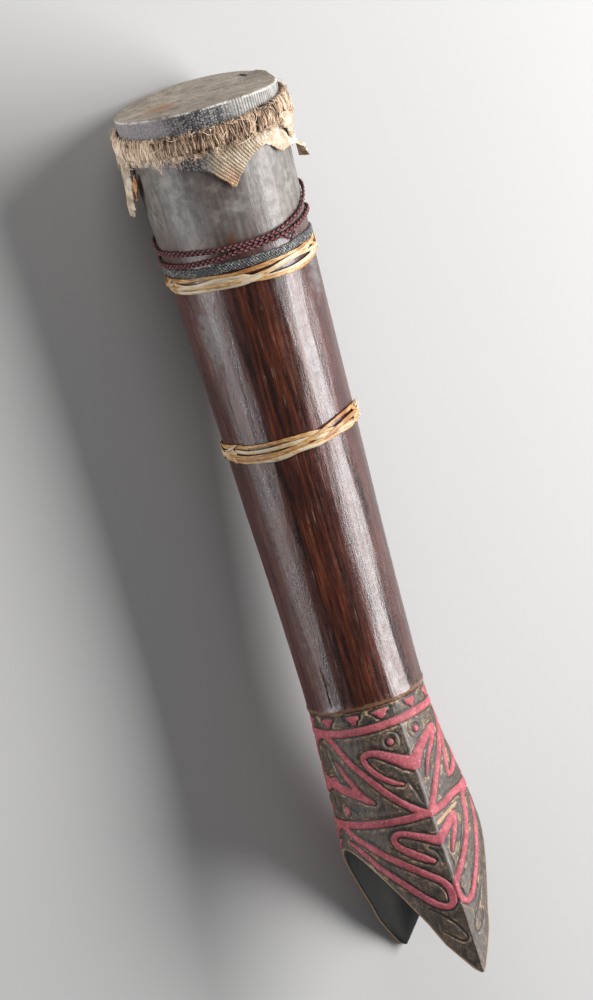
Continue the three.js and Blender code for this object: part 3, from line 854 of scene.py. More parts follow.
def wood_material():
    """Dark rubbed wood; pink paint on the ribbons; worn tan along cut edges; painted shade in cracks and
    grooves; a pale keel line, partly painted highlight; soot inside.
    """
    material, tree, shader = new_material("rubbed_wood")
    where = add(tree, "ShaderNodeTexCoord").outputs["Object"]
    grain = add(tree, "ShaderNodeGroup", {}, node_tree=long_grain)
    grain.inputs["Fineness"].default_value = 260
    streaks, patches = grain.outputs["Streaks"], grain.outputs["Patches"]
    along = along_drum(tree, where)
    fine = noise(tree, where, 420.0, 5.0, 0.6)
    blotch = noise(tree, where, 60.0, 6.0, 0.6)
    medium = noise(tree, where, 130.0, 6.0, 0.6)
    names = ("ribbon", "cut", "bare", "inside")
    ribbon, cut, bare, inside = (attribute(tree, name) for name in names)
    foot = ramp(tree, along, lip_at + 1.0, lip_at + 2.5)

    plain, dusty = barrel_colour(tree, where, along, streaks, patches, medium, blotch)
    carved, painted = carved_colour(tree, where, ribbon, cut, medium, fine, blotch)
    # The cracks in the barrel are painted near black: painted shade inside them.
    shaded_cracks = tinted(tree, plain, srgb(18, 8, 6), cut, 0.6, 0.1)
    colour = mix(tree, foot, shaded_cracks, carved)
    at_lip = math_node(tree, "SUBTRACT", raised(tree, along, medium, 5.0), lip_at + 1.5)
    at_lip = math_node(tree, "ABSOLUTE", at_lip)
    colour = tinted(tree, colour, srgb(128, 92, 66), at_lip, 2.6, 0.8, 0.75)
    colour = tinted(tree, colour, srgb(164, 130, 92), raised(tree, bare, fine, 3.0), 1.5, 0.9)
    # A pale grey line along the keel ridge where it bears no paint: partly wear, partly painted
    # highlight.
    arris = times(tree, ramp(tree, attribute(tree, "keel"), 1.5, 0.5), ramp(tree, blotch, 0.3, 0.5))
    arris = times(tree, arris, opposite(tree, painted))
    colour = mix(tree, times(tree, arris, 0.6), colour, srgb(142, 134, 130))
    edge = raised(tree, attribute(tree, "edge"), medium, 2.0)
    colour = tinted(tree, colour, srgb(172, 138, 104), edge, 3.0, 1.4, 0.85)
    soot = mix(tree, ramp(tree, blotch, 0.4, 0.7), srgb(9, 8, 7), srgb(24, 20, 15))
    soot = tinted(tree, soot, srgb(140, 108, 78), edge, 2.0, 1.0, 0.6)
    tree.links.new(mix(tree, inside, colour, soot), shader.inputs["Base Color"])

    # The rubbed barrel shines; dust, paint and carving are dull.
    dull = raised(tree, raised(tree, 0.14, streaks, 0.34), dusty, 0.2)
    dull = swayed(tree, dull, medium, 0.3)
    dull = raised(tree, dull, foot, 0.3)
    dull = raised(tree, dull, times(tree, painted, foot), 0.12)
    tree.links.new(raised(tree, dull, inside, 0.5), shader.inputs["Roughness"])
    shader.inputs["Specular IOR Level"].default_value = 0.8

    # Broad flats left by the adze on the barrel, under the grain.
    flats = add(tree, "ShaderNodeTexVoronoi", {"Vector": drawn_out(tree, where, (1, 0.17, 1)),
                                               "Scale": 62.0}, feature="F1").outputs["Distance"]
    flats = times(tree, flats, opposite(tree, foot))
    broad = add(tree, "ShaderNodeBump", {"Height": flats, "Strength": 0.5, "Distance": 0.0016})
    height = raised(tree, grain.outputs["Height"], fine, 0.3)
    bump = add(tree, "ShaderNodeBump", {"Height": height, "Strength": 0.45, "Distance": 0.001,
                                        "Normal": broad.outputs[0]})
    tree.links.new(bump.outputs[0], shader.inputs["Normal"])
    return material


body_points, body_faces, body_fields = body_surface()
build("carved_body", flatten_on_floor(body_points), body_faces, wood_material(), "wood",
      ("drum_body",), merge=0.002, fields=body_fields)

# Drumhead
# Lizard skin, wetted, drawn over the rim and dried hard. Its skirt is turned down
# under the fibre ring, and its torn margin hangs in a striped tongue and three shreds.

skin = 1.2
gap = 0.3
stripe_step = 2.8
shred_thick = 0.9
shred_radius = 72.0
head_columns = 420
skirt_rows = 43
hole_squash = 0.36
rib_wave = 2.62
margin = [
    (-180, 48), (-150, 52), (-125, 47), (-104, 50), (-88, 46), (-75, 43), (-60, 41), (-45, 42),
    (-30, 47), (-18, 50), (-9, 51), (-2, 58), (5, 67), (11, 77), (14, 71), (19, 62), (26, 55), (34, 50),
    (42, 48), (49, 53), (56, 62), (63, 60), (70, 61), (80, 65), (92, 60), (106, 48), (130, 46),
    (155, 51)]


def skin_margin(degrees):
    """How far down the barrel the torn edge of the skin reaches."""
    random = np.random.default_rng(seed + 3)
    edge = wander(margin, degrees, 1.2)
    for count in (23, 41, 67, 101, 151):
        edge = edge + 13 / count * np.sin(np.radians(degrees) * count + random.uniform(0, 6))
    return edge


def head_piece():
    """A disc, a rounded rim and a skirt that lies on the barrel and lifts a little at its torn edge."""
    degrees = np.linspace(-180, 180, head_columns, endpoint=False)
    angle = view_angle(degrees)
    edge = skin_margin(degrees)
    slant = wander(rim_slant, degrees, 8)
    bend = 2.6
    outer_rim = barrel_radius(0) + gap + skin
    torn = 1.7 * bell(degrees, 117, 7) + 0.9 * bell(degrees, 124, 2) + 1.1 * bell(degrees, 112, 2)
    rows, down = [], []
    for t in np.linspace(0, 1, 40)[1:]:
        sag = 0.6 * (1 - t ** 2) + 0.3 * np.sin(5 * angle + 9 * t) * t * (1 - t)
        rows.append((sag + slant * t - torn * share(t, 0.87, 1.0) ** 2,
                     (outer_rim - bend) * t + 0 * angle))
        down.append(-3 * (1 - t) + 0 * angle)
    for t in np.linspace(0, math.pi / 2, 7)[1:]:
        bumpy = 0.18 * np.sin(118 * angle) * math.sin(t)
        top = slant - torn * math.cos(t) + bend * (1 - math.cos(t))
        rows.append((top, outer_rim - bend * (1 - math.sin(t)) + bumpy))
        down.append(bend * (1 - math.cos(t)) + 0 * angle)
    for t in np.linspace(0, 1, skirt_rows + 1)[1:]:
        a = slant + bend + (edge - slant - bend) * t
        wrinkle = 0.3 * np.sin(24 * angle + 3 * np.sin(5 * angle)) * ease(share(a, 34, 46))
        wrinkle = wrinkle + 0.8 * bell(degrees, 58, 16) * np.sin(a / 2.6 + 9 * angle) * share(a, 38, 48)
        ribs = 0.16 * np.sin(118 * angle) * (1 - share(a, 8, 20))
        lift = 2.6 * share(a, 38, 74) ** 1.4 * (1 + 0.5 * np.sin(9 * angle))
        curl = 4.5 * bell(degrees, 62, 9) * share(a, 42, 60) ** 2
        rows.append((a, barrel_radius(a) + gap + skin + wrinkle + ribs + lift + curl + 0.3))
        down.append(a - slant)
    outer = np.stack([on_drum(a, angle, r) for a, r in rows])
    inner = np.stack([on_drum(a, angle, r - 0.9 * skin) for a, r in rows[-skirt_rows:]])[::-1]
    rings = np.concatenate([outer, inner])
    points = np.vstack([rings.reshape(-1, 3), [[0, 1.3, 0]]])
    numbers = numbered(len(rings), head_columns)
    faces = grid_faces(numbers, wrap=True).tolist()
    centre = np.full(head_columns, numbers.size)
    faces += np.stack([centre, np.roll(numbers[0], -1), numbers[0]], axis=1).tolist()
    down = np.concatenate([np.stack(down + down[:-skirt_rows - 1:-1]).ravel(), [-3]])
    around = np.concatenate([np.broadcast_to(degrees, rings.shape[:2]).ravel(), [0]])
    under = np.concatenate([np.repeat([0, 1], [len(outer), len(inner)]).repeat(head_columns), [0]])
    return points, faces, head_fields(around, down, under)


def head_fields(around, down, under):
    """Where the skin is striped, where it is pale, and the number of the stripe."""
    skirt = share(down, 34, 38)
    beside = rim_radius * np.sin(np.radians(around))
    below = down - 45
    stripe = (0.704 * beside + 0.00263 * beside ** 2 - 0.407 * below - 0.00595 * below ** 2) / stripe_step
    striped = skirt * share(around, -8, 4) * (1 - share(around, 42, 52))
    cream = skirt * share(around, 32, 44) * (1 - share(around, 110, 125))
    cream = np.maximum(cream, skirt * bell(around, -62, 14))
    ribbed = (1 - skirt) * share(around, 14, 30) * (1 - share(around, 75, 100))
    rusty = 0.4 * skirt * share(down, 56, 72) * share(around, -10, 0) * (1 - share(around, 12, 22))
    return {"down": down, "stripe": stripe, "striped": striped, "cream": cream, "ribbed": ribbed,
            "under": np.maximum(under, rusty), "around": around}


def strip_piece(path, widths, curl, seed_number, orange):
    """A hanging shred of skin: a curled sheet about a path of (view degrees, along, stand)."""
    random = np.random.default_rng(seed_number)
    path = np.array(path, float)
    steps, across_steps = 36, 13
    t = np.linspace(0, 1, steps)
    knots = np.linspace(0, 1, len(path))
    degrees, a, stand = (np.interp(t, knots, path[:, i]) for i in range(3))
    wide = np.interp(t, np.linspace(0, 1, len(widths)), widths)
    s = np.linspace(-1, 1, across_steps)[:, None]
    ragged = 1 + 0.12 * np.sin(t * 31 + s * 2 + random.uniform(0, 6)) + 0.1 * np.sin(t * 67 + s)
    turn = view_angle(degrees)[None] + s * wide * ragged / 2 / shred_radius
    fold = np.interp(t, np.linspace(0, 1, len(curl)), curl)
    radius = barrel_radius(a)[None] + gap + skin + stand + fold * s ** 2 + 0.5 * np.sin(9 * t + 2 * s)
    outer = on_drum(np.broadcast_to(a, turn.shape) + 0.8 * np.sin(t * 23 + 3 * s), turn, radius)
    inner = on_drum(np.broadcast_to(a, turn.shape), turn, radius - shred_thick)
    numbers = numbered(2 * across_steps, steps)
    sheet = np.concatenate([outer, inner[::-1]])
    faces = grid_faces(np.vstack([numbers, numbers[:1]])).tolist()
    for end in (0, steps - 1):
        for i in range(across_steps - 1):
            far = 2 * across_steps - 1 - i
            faces.append([numbers[row, end] for row in (i, i + 1, far - 1, far)])
    points = sheet.reshape(-1, 3)
    flat = np.zeros(len(points))
    inside = np.repeat([0, 1], across_steps).repeat(steps) * orange
    fields = {"down": flat + 50, "stripe": flat, "striped": flat, "cream": flat + 1, "ribbed": flat,
              "under": inside, "around": flat - 40}
    return points, faces, fields


def dress(tree, shader, colour, roughness, height, strength, distance):
    """A shader's colour, its roughness and its relief as a bump."""
    tree.links.new(colour, shader.inputs["Base Color"])
    shader.inputs["Roughness"].default_value = roughness
    bump = add(tree, "ShaderNodeBump", {"Height": height, "Strength": strength, "Distance": distance})
    tree.links.new(bump.outputs[0], shader.inputs["Normal"])


def distance_to(tree, where, axes, spot):
    """Distance from a place, with its axes scaled by AXES, to SPOT."""
    scaled = add(tree, "ShaderNodeVectorMath", {0: where, 1: axes}, operation="MULTIPLY").outputs[0]
    return add(tree, "ShaderNodeVectorMath", {0: scaled, 1: spot}, operation="DISTANCE").outputs["Value"]


def face_colour(tree, where, broad, medium, fine, small):
    """The dusty playing face, streaked and stained, with its small hole painted dark as shade; and where
    the hole is.
    """
    tone = mix(tree, ramp(tree, broad, 0.35, 0.65), srgb(182, 170, 154), srgb(144, 131, 116))
    stretched = add(tree, "ShaderNodeMapping", {"Vector": where, "Rotation": (0, -0.35, 0),
                                                "Scale": (0.3, 1, 1.6)}).outputs[0]
    bands = noise(tree, stretched, 85.0, 7.0, 0.65)
    tone = tinted(tree, tone, srgb(96, 82, 68), bands, 0.5, 0.64, 0.4)
    tone = tinted(tree, tone, srgb(196, 190, 178), bands, 0.42, 0.32, 0.35)
    speckle = swayed(tree, medium, fine, 0.8)
    tone = tinted(tree, tone, srgb(206, 200, 188), speckle, 0.52, 0.68, 0.55)
    tone = tinted(tree, tone, srgb(98, 78, 58), speckle, 0.46, 0.3, 0.6)
    stain = raised(tree, distance_to(tree, where, (1, 0, 1), stain_at), medium, 0.012)
    tone = tinted(tree, tone, srgb(166, 112, 70), stain, 0.03, 0.01, 0.8)
    tone = mix(tree, times(tree, opposite(tree, small), 0.3), tone, srgb(92, 82, 72))
    # The small hole is painted near black: painted shade inside it.
    hole = raised(tree, distance_to(tree, where, (1, 0, hole_squash), hole_at), fine, 0.0008)
    hole = ramp(tree, hole, 0.0034, 0.0026)
    return mix(tree, hole, tone, srgb(8, 6, 5)), hole


def skirt_colour(tree, fields, scales, bead, lines, ribs, broad, medium):
    """Grey scales under a ribbed rim, dark stripes on the beige tongue, cream at the torn edge."""
    grey = mix(tree, ramp(tree, medium, 0.36, 0.62), srgb(72, 70, 72), srgb(118, 114, 114))
    grey = mix(tree, times(tree, bead, 0.55), grey, srgb(176, 172, 168))
    grey = tinted(tree, grey, srgb(38, 36, 36), scales, 0.5, 0.7, 0.7)
    pale_rim = mix(tree, ramp(tree, medium, 0.4, 0.6), srgb(190, 188, 182), srgb(146, 142, 136))
    grey = mix(tree, times(tree, fields["ribbed"], 0.75), grey, pale_rim)
    left_side = ramp(tree, fields["around"], -16, -34)
    grey = mix(tree, times(tree, left_side, 0.5), grey, srgb(176, 168, 172))
    grey = tinted(tree, grey, srgb(104, 100, 98), ribs, 0.25, 0.8)
    beige = mix(tree, ramp(tree, medium, 0.35, 0.65), srgb(206, 193, 168), srgb(168, 148, 122))
    beige = tinted(tree, beige, srgb(84, 62, 50), lines, 0.72, 1.12, 0.9)
    pale = mix(tree, ramp(tree, medium, 0.4, 0.62), srgb(228, 216, 196), srgb(172, 150, 126))
    pale = tinted(tree, pale, srgb(198, 150, 110), broad, 0.54, 0.68, 0.3)
    return mix(tree, fields["cream"], mix(tree, fields["striped"], grey, beige), pale)


def skin_material():
    """Dry lizard skin: grey scales on rim and skirt, dusty on the face, cream where it is torn."""
    material, tree, shader = new_material("lizard_skin")
    where = add(tree, "ShaderNodeTexCoord").outputs["Object"]
    names = ("down", "stripe", "striped", "cream", "ribbed", "under", "around")
    fields = {name: attribute(tree, name) for name in names}
    scales = cells(tree, where, 440.0, 0.6)
    bead = ramp(tree, scales, 0.55, 0.2)
    small = ramp(tree, cells(tree, where, 900.0, 0.8), 0.55, 0.25)
    broad = noise(tree, where, 17.0, 6.0, 0.65)
    medium = noise(tree, where, 75.0, 6.0, 0.65)
    fine = noise(tree, where, 380.0, 4.0, 0.6)
    ribs = math_node(tree, "SINE", times(tree, fields["around"], rib_wave))
    ribs = times(tree, ribs, fields["ribbed"])
    lines = math_node(tree, "SINE", times(tree, fields["stripe"], round(math.tau, 4)))
    lines = raised(tree, lines, fine, 0.9)

    face_tone, hole = face_colour(tree, where, broad, medium, fine, small)
    skirt = skirt_colour(tree, fields, scales, bead, lines, ribs, broad, medium)
    rim = ramp(tree, raised(tree, fields["down"], fine, 1.2), 1.3, 2.4)
    tone = mix(tree, rim, face_tone, skirt)
    edge_line = times(tree, ramp(tree, fields["down"], 0.6, 1.3), ramp(tree, fields["down"], 3.0, 2.2))
    tone = mix(tree, times(tree, edge_line, ramp(tree, medium, 0.4, 0.55)), tone, srgb(206, 202, 194))
    raw = mix(tree, ramp(tree, medium, 0.4, 0.6), srgb(214, 150, 84), srgb(150, 84, 40))
    tone = mix(tree, fields["under"], tone, raw)
    height = raised(tree, times(tree, medium, 1.2), times(tree, bead, rim), 0.7)
    height = raised(tree, height, small, 0.25)
    height = raised(tree, height, times(tree, lines, fields["striped"]), -0.25)
    height = raised(tree, height, hole, -3.0)
    height = raised(tree, height, ribs, -0.5)
    dress(tree, shader, tone, 0.72, height, 0.55, 0.0009)
    return material


def on_face(degrees, radius, squash=1.0):
    """A place on the playing face, seen along the drum."""
    x, _, z = place(on_drum(0.0, view_angle(degrees), radius)).tolist()
    return (x, 0.0, squash * z)


stain_at = on_face(-72, 34)
hole_at = on_face(129, 61, hole_squash)
lizard_skin = skin_material()
head_points, head_faces, head_values = head_piece()
build("skin_head", head_points, head_faces, lizard_skin, "hide", ("drumhead",),
      fields=head_values)

left_shred = strip_piece([(-84, 36, 7.0), (-86, 46, 8.0), (-87, 56, 9.5), (-87, 68, 11.5),
                          (-85, 79, 13), (-83, 88, 13.5)],
                         [28, 27, 24, 21, 22, 21, 13], [-3, -4, -5, -5, -4, -2], seed + 21, 1.0)
build("skin_strip_left", *left_shred[:2], lizard_skin, "hide", fields=left_shred[2])
tail_strip = strip_piece([(-72, 50, 1.5), (-73, 58, 2.5), (-75, 66, 3.5), (-77, 74, 4.5)],
                         [4, 9, 10, 3], [1, 2, 2, 1], seed + 23, 1.0)
tail_strip[2]["under"][:] = 0.85
build("skin_strip_inner", *tail_strip[:2], lizard_skin, "hide", fields=tail_strip[2])
right_shred = strip_piece([(64, 28, 9.4), (69, 35, 9.4), (75, 43, 8.4), (80, 53, 6.8), (85, 62, 5.2),
                           (88, 70, 4.4), (89, 78, 4.8)],
                          [15, 26, 28, 20, 11, 8, 15, 13], [-4, -3, -3, -4, -2, 8, 9], seed + 22, 0.4)
build("skin_strip_right", *right_shred[:2], lizard_skin, "hide", fields=right_shred[2])

# Fibre ring
# A hank of shredded plant fibre laid round the skirt and wound over itself, so that
# its strands run across the ring; it holds the skin on the wood.

ring_from = 10.0
ring_to = 33.0
ring_thick = 8.2
hank_radius = 74.0
ring_floor = barrel_radius(ring_from) + gap + skin + gap


def sweep(paths, wide, thick, outward, sides=5):
    """A flattened round section carried along each path; PATHS is strands by points by 3."""
    ahead = np.gradient(paths, axis=1)
    ahead = ahead / np.linalg.norm(ahead, axis=2, keepdims=True)
    beside = np.cross(ahead, outward)
    beside = beside / np.linalg.norm(beside, axis=2, keepdims=True)
    over = np.cross(beside, ahead)
    turn = np.linspace(0, 2 * math.pi, sides, endpoint=False)[:, None]
    ring = paths[:, :, None] + wide[..., None, None] * np.cos(turn) * beside[:, :, None]
    ring = ring + thick[..., None, None] * np.sin(turn) * over[:, :, None]
    strands, steps = paths.shape[:2]
    starts = np.arange(strands) * steps * sides
    faces = grid_faces(numbered(steps, sides), wrap=True)[None] + starts[:, None, None]
    faces = faces.reshape(-1, 4).tolist()
    for base in (0, (steps - 1) * sides):
        faces += (starts[:, None] + base + np.arange(sides)[None]).tolist()
    return ring.reshape(-1, 3), faces


def outward_of(points):
    """The direction away from the drum's axis."""
    out = np.array(points, float)
    out[..., 1] = 0
    return out / np.linalg.norm(out, axis=-1, keepdims=True)


def ring_shift(angle):
    """The hank has slipped a little down the barrel, most on the left."""
    return 2.6 + 0.9 * np.cos(angle - view_angle(-50))


def fibre_tone(degrees, random):
    """Straw at both sides and browner in the middle in view, as painted highlight and painted shade;
    varied strand by strand.
    """
    # Painted highlight toward both sides in view, painted shade in the middle.
    lit_sides_and_shaded_middle = 0.62 * bell(degrees, -80, 40) + 0.16 * bell(degrees, 62, 22) - 0.1 * bell(degrees, 10, 30)
    return random.uniform(0.1, 0.75, len(degrees)) + lit_sides_and_shaded_middle


def wrapped_fibres(count, seed_number, thin, sides, shag):
    """Strands over the ring's rounded section, in locks; some stop short and some hang past it."""
    random = np.random.default_rng(seed_number)
    steps = 13
    start = random.uniform(-math.pi, math.pi, count)[:, None]
    lock = np.sin(61 * start) + np.sin(23 * start + 2)
    first = random.uniform(0, 0.22, count)[:, None]
    last = 1 - random.uniform(0, 0.6, count)[:, None] ** 2
    t = first + (last - first) * np.linspace(0, 1, steps)[None]
    slope = 0.045 * np.sin(17 * start + 1) + random.normal(0, 0.045, count)[:, None]
    wave = random.uniform(0.002, 0.012, count)[:, None]
    beat = random.uniform(1.0, 2.6, count)[:, None]
    angle = start + slope * (t - 0.5) + wave * np.sin(2 * math.pi * beat * t + 40 * start)
    hang = shag * np.maximum(random.normal(0.35 * lock, 0.7), 0)
    turn = math.pi * (0.05 + 0.9 * t)
    middle = (ring_from + ring_to) / 2 + ring_shift(angle)
    half = (ring_to - ring_from) / 2 - 0.4
    lumpy = 1 + 0.05 * np.sin(7 * angle) + 0.06 * np.sin(19 * angle + 1) + 0.05 * lock
    level = 0.78 + 0.24 * random.uniform(0, 1, count)[:, None]
    over = ring_thick * (0.06 + 0.74 * np.sin(turn) ** 0.75) * level
    spread = 1 + 0.06 * random.normal(0, 1, count)[:, None]
    a = middle - half * np.cos(turn) * spread + hang * 3.6 * t ** 3
    ruffle = 0.35 * np.sin(2 * math.pi * beat * t + 17 * start)
    paths = on_drum(a, angle, ring_floor + over * lumpy + ruffle + hang * 0.9 * t ** 3)
    size = random.uniform(thin[0], thin[1], count)[:, None] * np.sin(math.pi * (0.12 + 0.8 * t)) ** 0.5
    tone = fibre_tone(np.degrees(start[:, 0] + view_turn + math.radians(keel_turn)), random)
    along = np.linspace(0.75, 1.25, steps) - 0.25
    return (*sweep(paths, size * 1.25, size, outward_of(paths), sides),
            np.repeat((tone[:, None] * along).ravel(), sides))


def tufts(count, seed_number):
    """Curled ends that stand off the lower edge of the ring, and a few that stand up over its top."""
    random = np.random.default_rng(seed_number)
    steps = 10
    start = random.uniform(-math.pi, math.pi, count)[:, None]
    start = start + 0.05 * np.sin(26 * start)
    upward = random.uniform(0, 1, count)[:, None] < 0.22
    way = np.where(upward, -1.0, 1.0)
    t = np.linspace(0, 1, steps)[None]
    reach = random.gamma(3.0, 1.5, count)[:, None] * np.where(upward, 0.5, 1.0)
    edge = np.where(upward, ring_from + 4, ring_to - 3) + ring_shift(start)
    curl = random.normal(0, 1.3, count)[:, None] / hank_radius
    angle = start + curl * (3 * t ** 2) + 0.008 * np.sin(7 * t + 31 * start)
    a = edge + way * reach * np.sin(1.8 * t) + 0.6 * np.sin(5 * t + 9 * start)
    radius = ring_floor + 3.8 + random.uniform(0, 3.2, count)[:, None]
    radius = radius + 1.6 * np.sin(math.pi * t) - 1.3 * t
    paths = on_drum(a, angle, radius)
    size = random.uniform(0.16, 0.34, count)[:, None] * (1 - 0.7 * t ** 2)
    tone = fibre_tone(np.degrees(start[:, 0] + view_turn + math.radians(keel_turn)), random) + 0.18
    return (*sweep(paths, size, size, outward_of(paths), 3), np.repeat(tone, steps * 3))


def ring_core():
    """The hank under the strands, a rounded ring that closes the gaps between them; its dark tone is
    painted shade.
    """
    columns, sides = 300, 18
    angle = np.linspace(-math.pi, math.pi, columns, endpoint=False)
    turn = np.linspace(0, 2 * math.pi, sides, endpoint=False)[:, None]
    a = (ring_from + ring_to) / 2 + ring_shift(angle) - (ring_to - ring_from - 3) / 2 * np.cos(turn)
    swell = 1 + 0.06 * np.sin(31 * angle) + 0.05 * np.sin(53 * angle + 2)
    radius = ring_floor + (ring_thick - 3.4) / 2 * (1 + np.sin(turn) * swell)
    numbers = numbered(sides, columns)
    faces = grid_faces(np.vstack([numbers, numbers[:1]]), wrap=True).tolist()
    return on_drum(a, angle, radius).reshape(-1, 3), faces, np.full(sides * columns, 0.05)


def joined(*parts):
    """Several (points, faces, tones) as one."""
    points, faces, tones, start = [], [], [], 0
    for some_points, some_faces, some_tones in parts:
        points.append(some_points)
        tones.append(some_tones)
        faces += [[start + n for n in face] for face in some_faces]
        start += len(some_points)
    return np.vstack(points), faces, np.concatenate(tones)


def open_path(table, steps):
    """A smooth line through (view degrees, along, radius over the barrel)."""
    table = np.array(table, float)
    t = np.linspace(0, len(table) - 1, steps)
    knots = np.arange(len(table))
    degrees, a, stand = (np.interp(t, knots, table[:, i]) for i in range(3))
    kernel = np.ones(5) / 5
    lines = [np.convolve(np.pad(v, 2, mode="edge"), kernel, "valid") for v in (degrees, a, stand)]
    degrees, a, stand = lines
    return on_drum(a, view_angle(degrees), barrel_radius(a) + stand)[None]


def wisps():
    """Loose pale fibres that stand off the ring, one of them bowed right out."""
    random = np.random.default_rng(seed + 6)
    parts = []
    paths = [open_path([(36, 9, 9), (35.5, 14, 12), (34.5, 20, 13), (31, 25, 12), (28, 30, 10)], 24)]
    for _ in range(46):
        at = random.uniform(-180, 180)
        first = random.uniform(14, 32)
        reach = random.normal(0, 7)
        lift = random.uniform(8, 11.5)
        paths.append(open_path([(at, first, 7.5), (at + reach * 0.5, first + 4, lift),
                                (at + reach, first + random.uniform(5, 10), lift - 2)], 24))
    for path in paths:
        size = np.full(path.shape[:2], 0.28)
        points, faces = sweep(path, size, size, outward_of(path), 4)
        parts.append((points, faces, np.full(len(points), 1.0)))
    return joined(*parts)


def fibre_material():
    """Shredded bark fibre: straw to brown strand by strand, dark between as painted shade."""
    material, tree, shader = new_material("bark_fibre")
    where = add(tree, "ShaderNodeTexCoord").outputs["Object"]
    strand = noise(tree, where, 620.0, 4.0, 0.6)
    lock = noise(tree, where, 46.0, 4.0)
    tone = swayed(tree, attribute(tree, "tone"), strand, 0.7)
    tone = swayed(tree, tone, lock, 1.3)
    low = mix(tree, ramp(tree, tone, 0.0, 0.45), srgb(70, 48, 37), srgb(198, 167, 138))
    colour = tinted(tree, low, srgb(250, 230, 207), tone, 0.33, 0.92)
    dress(tree, shader, colour, 0.85, strand, 0.6, 0.0008)
    return material


bark_fibre = fibre_material()
ring_points, ring_faces, ring_tones = joined(
    ring_core(), wrapped_fibres(620, seed + 5, (0.4, 0.8), 5, 0.5),
    wrapped_fibres(1000, seed + 7, (0.18, 0.36), 3, 1.0))
build("fibre_ring_strands", flatten_on_floor(ring_points), ring_faces, bark_fibre, "fibre",
      ("fibre_ring",), fields={"tone": ring_tones})
tuft_points, tuft_faces, tuft_tones = joined(tufts(1500, seed + 15), wisps())
build("fibre_ring_tufts", flatten_on_floor(tuft_points), tuft_faces, bark_fibre, "fibre",
      fields={"tone": tuft_tones})

# Red cord
# Dark red yarn in a three-strand braid, taken twice round the barrel; the turns run
# together in front and are knotted at the right.

first_turn = [
    (-90, 119), (-83, 124), (-75, 126), (-55, 125.6), (-42, 126.2), (-30, 126.4), (-20, 127.2),
    (-1, 127.8), (18, 128.2), (29, 127.8), (42, 125.4), (56, 121.8), (68, 117.4), (78, 111.5),
    (88, 106), (105, 104), (130, 109), (165, 118), (-150, 119), (-115, 117.5)]
second_turn = [
    (-90, 136.2), (-76, 138.2), (-60, 137.8), (-45, 137.6), (-33, 136.6), (-15, 135.4), (-4, 133.4),
    (6, 132.6), (20, 133), (32, 132.6), (44, 131.6), (58, 129.6), (72, 127), (84, 125.4), (100, 127),
    (140, 131), (-170, 133), (-120, 134)]
braid_lay = 27
strand_radius = 0.98


def braid(table, lay, phase_shift):
    """Three strands that swing from side to side of a cord and dip under each other in turn."""
    steps, sides = 1500, 6
    t = np.linspace(-math.pi, math.pi, steps)[None]
    phase = np.linspace(0, 2 * math.pi, 3, endpoint=False)[:, None]
    swing = lay * t + phase + 0.9 * np.sin(3 * t + phase_shift)
    middle = wander(table, np.degrees(t), 3.0)
    a = middle + 1.5 * np.sin(swing)
    radius = barrel_radius(middle - 2.2) + gap + 1.9 + 0.85 * np.sin(2 * swing)
    paths = on_drum(a, view_angle(np.degrees(t)), radius)
    size = np.full(paths.shape[:2], strand_radius)
    points, faces = sweep(paths, size, size * 0.92, outward_of(paths), sides)
    # The tone follows each strand's height: paler on top as painted highlight, darker where it dips as
    # painted shade.
    tone = np.repeat((0.5 + 0.5 * np.sin(2 * swing)).ravel(), sides)
    return points, faces, tone


def knot():
    """A small overhand knot and its loop, beside the second turn."""
    t = np.linspace(0, 2 * math.pi, 60, endpoint=True)
    degrees = 43 + 4.6 * np.sin(t) + 1.6 * np.sin(2 * t)
    a = 135.5 - 2.6 * np.cos(t) - 0.8 * np.cos(3 * t)
    path = on_drum(a, view_angle(degrees), barrel_radius(a) + gap + 2.6 + 0.7 * np.sin(3 * t))[None]
    size = np.full(path.shape[:2], 0.95)
    points, faces = sweep(path, size, size, outward_of(path), 6)
    return points, faces, np.full(len(points), 0.7)


def cord_material():
    """Dark red yarn, paler where a strand comes to the top, partly dust and partly painted highlight, and
    darker where it dips, as painted shade.
    """
    material, tree, shader = new_material("red_yarn")
    where = add(tree, "ShaderNodeTexCoord").outputs["Object"]
    fuzz = noise(tree, where, 900.0, 4.0)
    dust_and_painted_light = swayed(tree, attribute(tree, "tone"), fuzz, 1.2)
    tone = mix(tree, ramp(tree, dust_and_painted_light, 0.1, 0.75), srgb(26, 8, 12), srgb(86, 32, 37))
    tone = tinted(tree, tone, srgb(186, 142, 138), dust_and_painted_light, 0.85, 1.25, 0.8)
    dress(tree, shader, tone, 0.75, fuzz, 0.6, 0.0008)
    return material


cord_points, cord_faces, cord_tones = joined(
    braid(first_turn, braid_lay, 0.4), braid(second_turn, braid_lay, 2.0), knot())
build("red_cord_braid", cord_points, cord_faces, cord_material(), "red_yarn", ("red_cord",),
      fields={"tone": cord_tones})

# Grey band
# A narrow flat band of knotted grey-brown string beside the cord.

grey_at = 145.2
grey_width = 8.4
grey_thick = 1.8


def grey_band():
    """A flat section with rows of knots, a wave along the band for each row."""
    columns, rows = 1300, 17
    angle = np.linspace(-math.pi, math.pi, columns, endpoint=False)
    s = np.linspace(-1, 1, rows)[:, None]
    row = np.cos(3 * math.pi * s)
    knots = 0.42 * np.sin(150 * angle + 1.7 * np.round(1.5 * (s + 1))) * row * (1 - s ** 8)
    sway = 0.5 * np.sin(5 * angle + 1) + 0.3 * np.sin(11 * angle)
    a = grey_at + sway + s * grey_width / 2 * (1 + 0.05 * np.sin(37 * angle))
    lower = barrel_radius(grey_at - grey_width / 2 - 1) + gap
    top = on_drum(a, angle, lower + grey_thick * (0.82 - 0.62 * s ** 8) + knots)
    under = on_drum(a[[-1, 0]], angle, lower + 0.05 + 0 * angle)
    numbers = numbered(rows + 2, columns)
    faces = grid_faces(np.vstack([numbers, numbers[:1]]), wrap=True).tolist()
    tone = np.concatenate([knots / 0.42, np.zeros((2, columns))])
    return np.concatenate([top, under]).reshape(-1, 3), faces, tone.ravel()


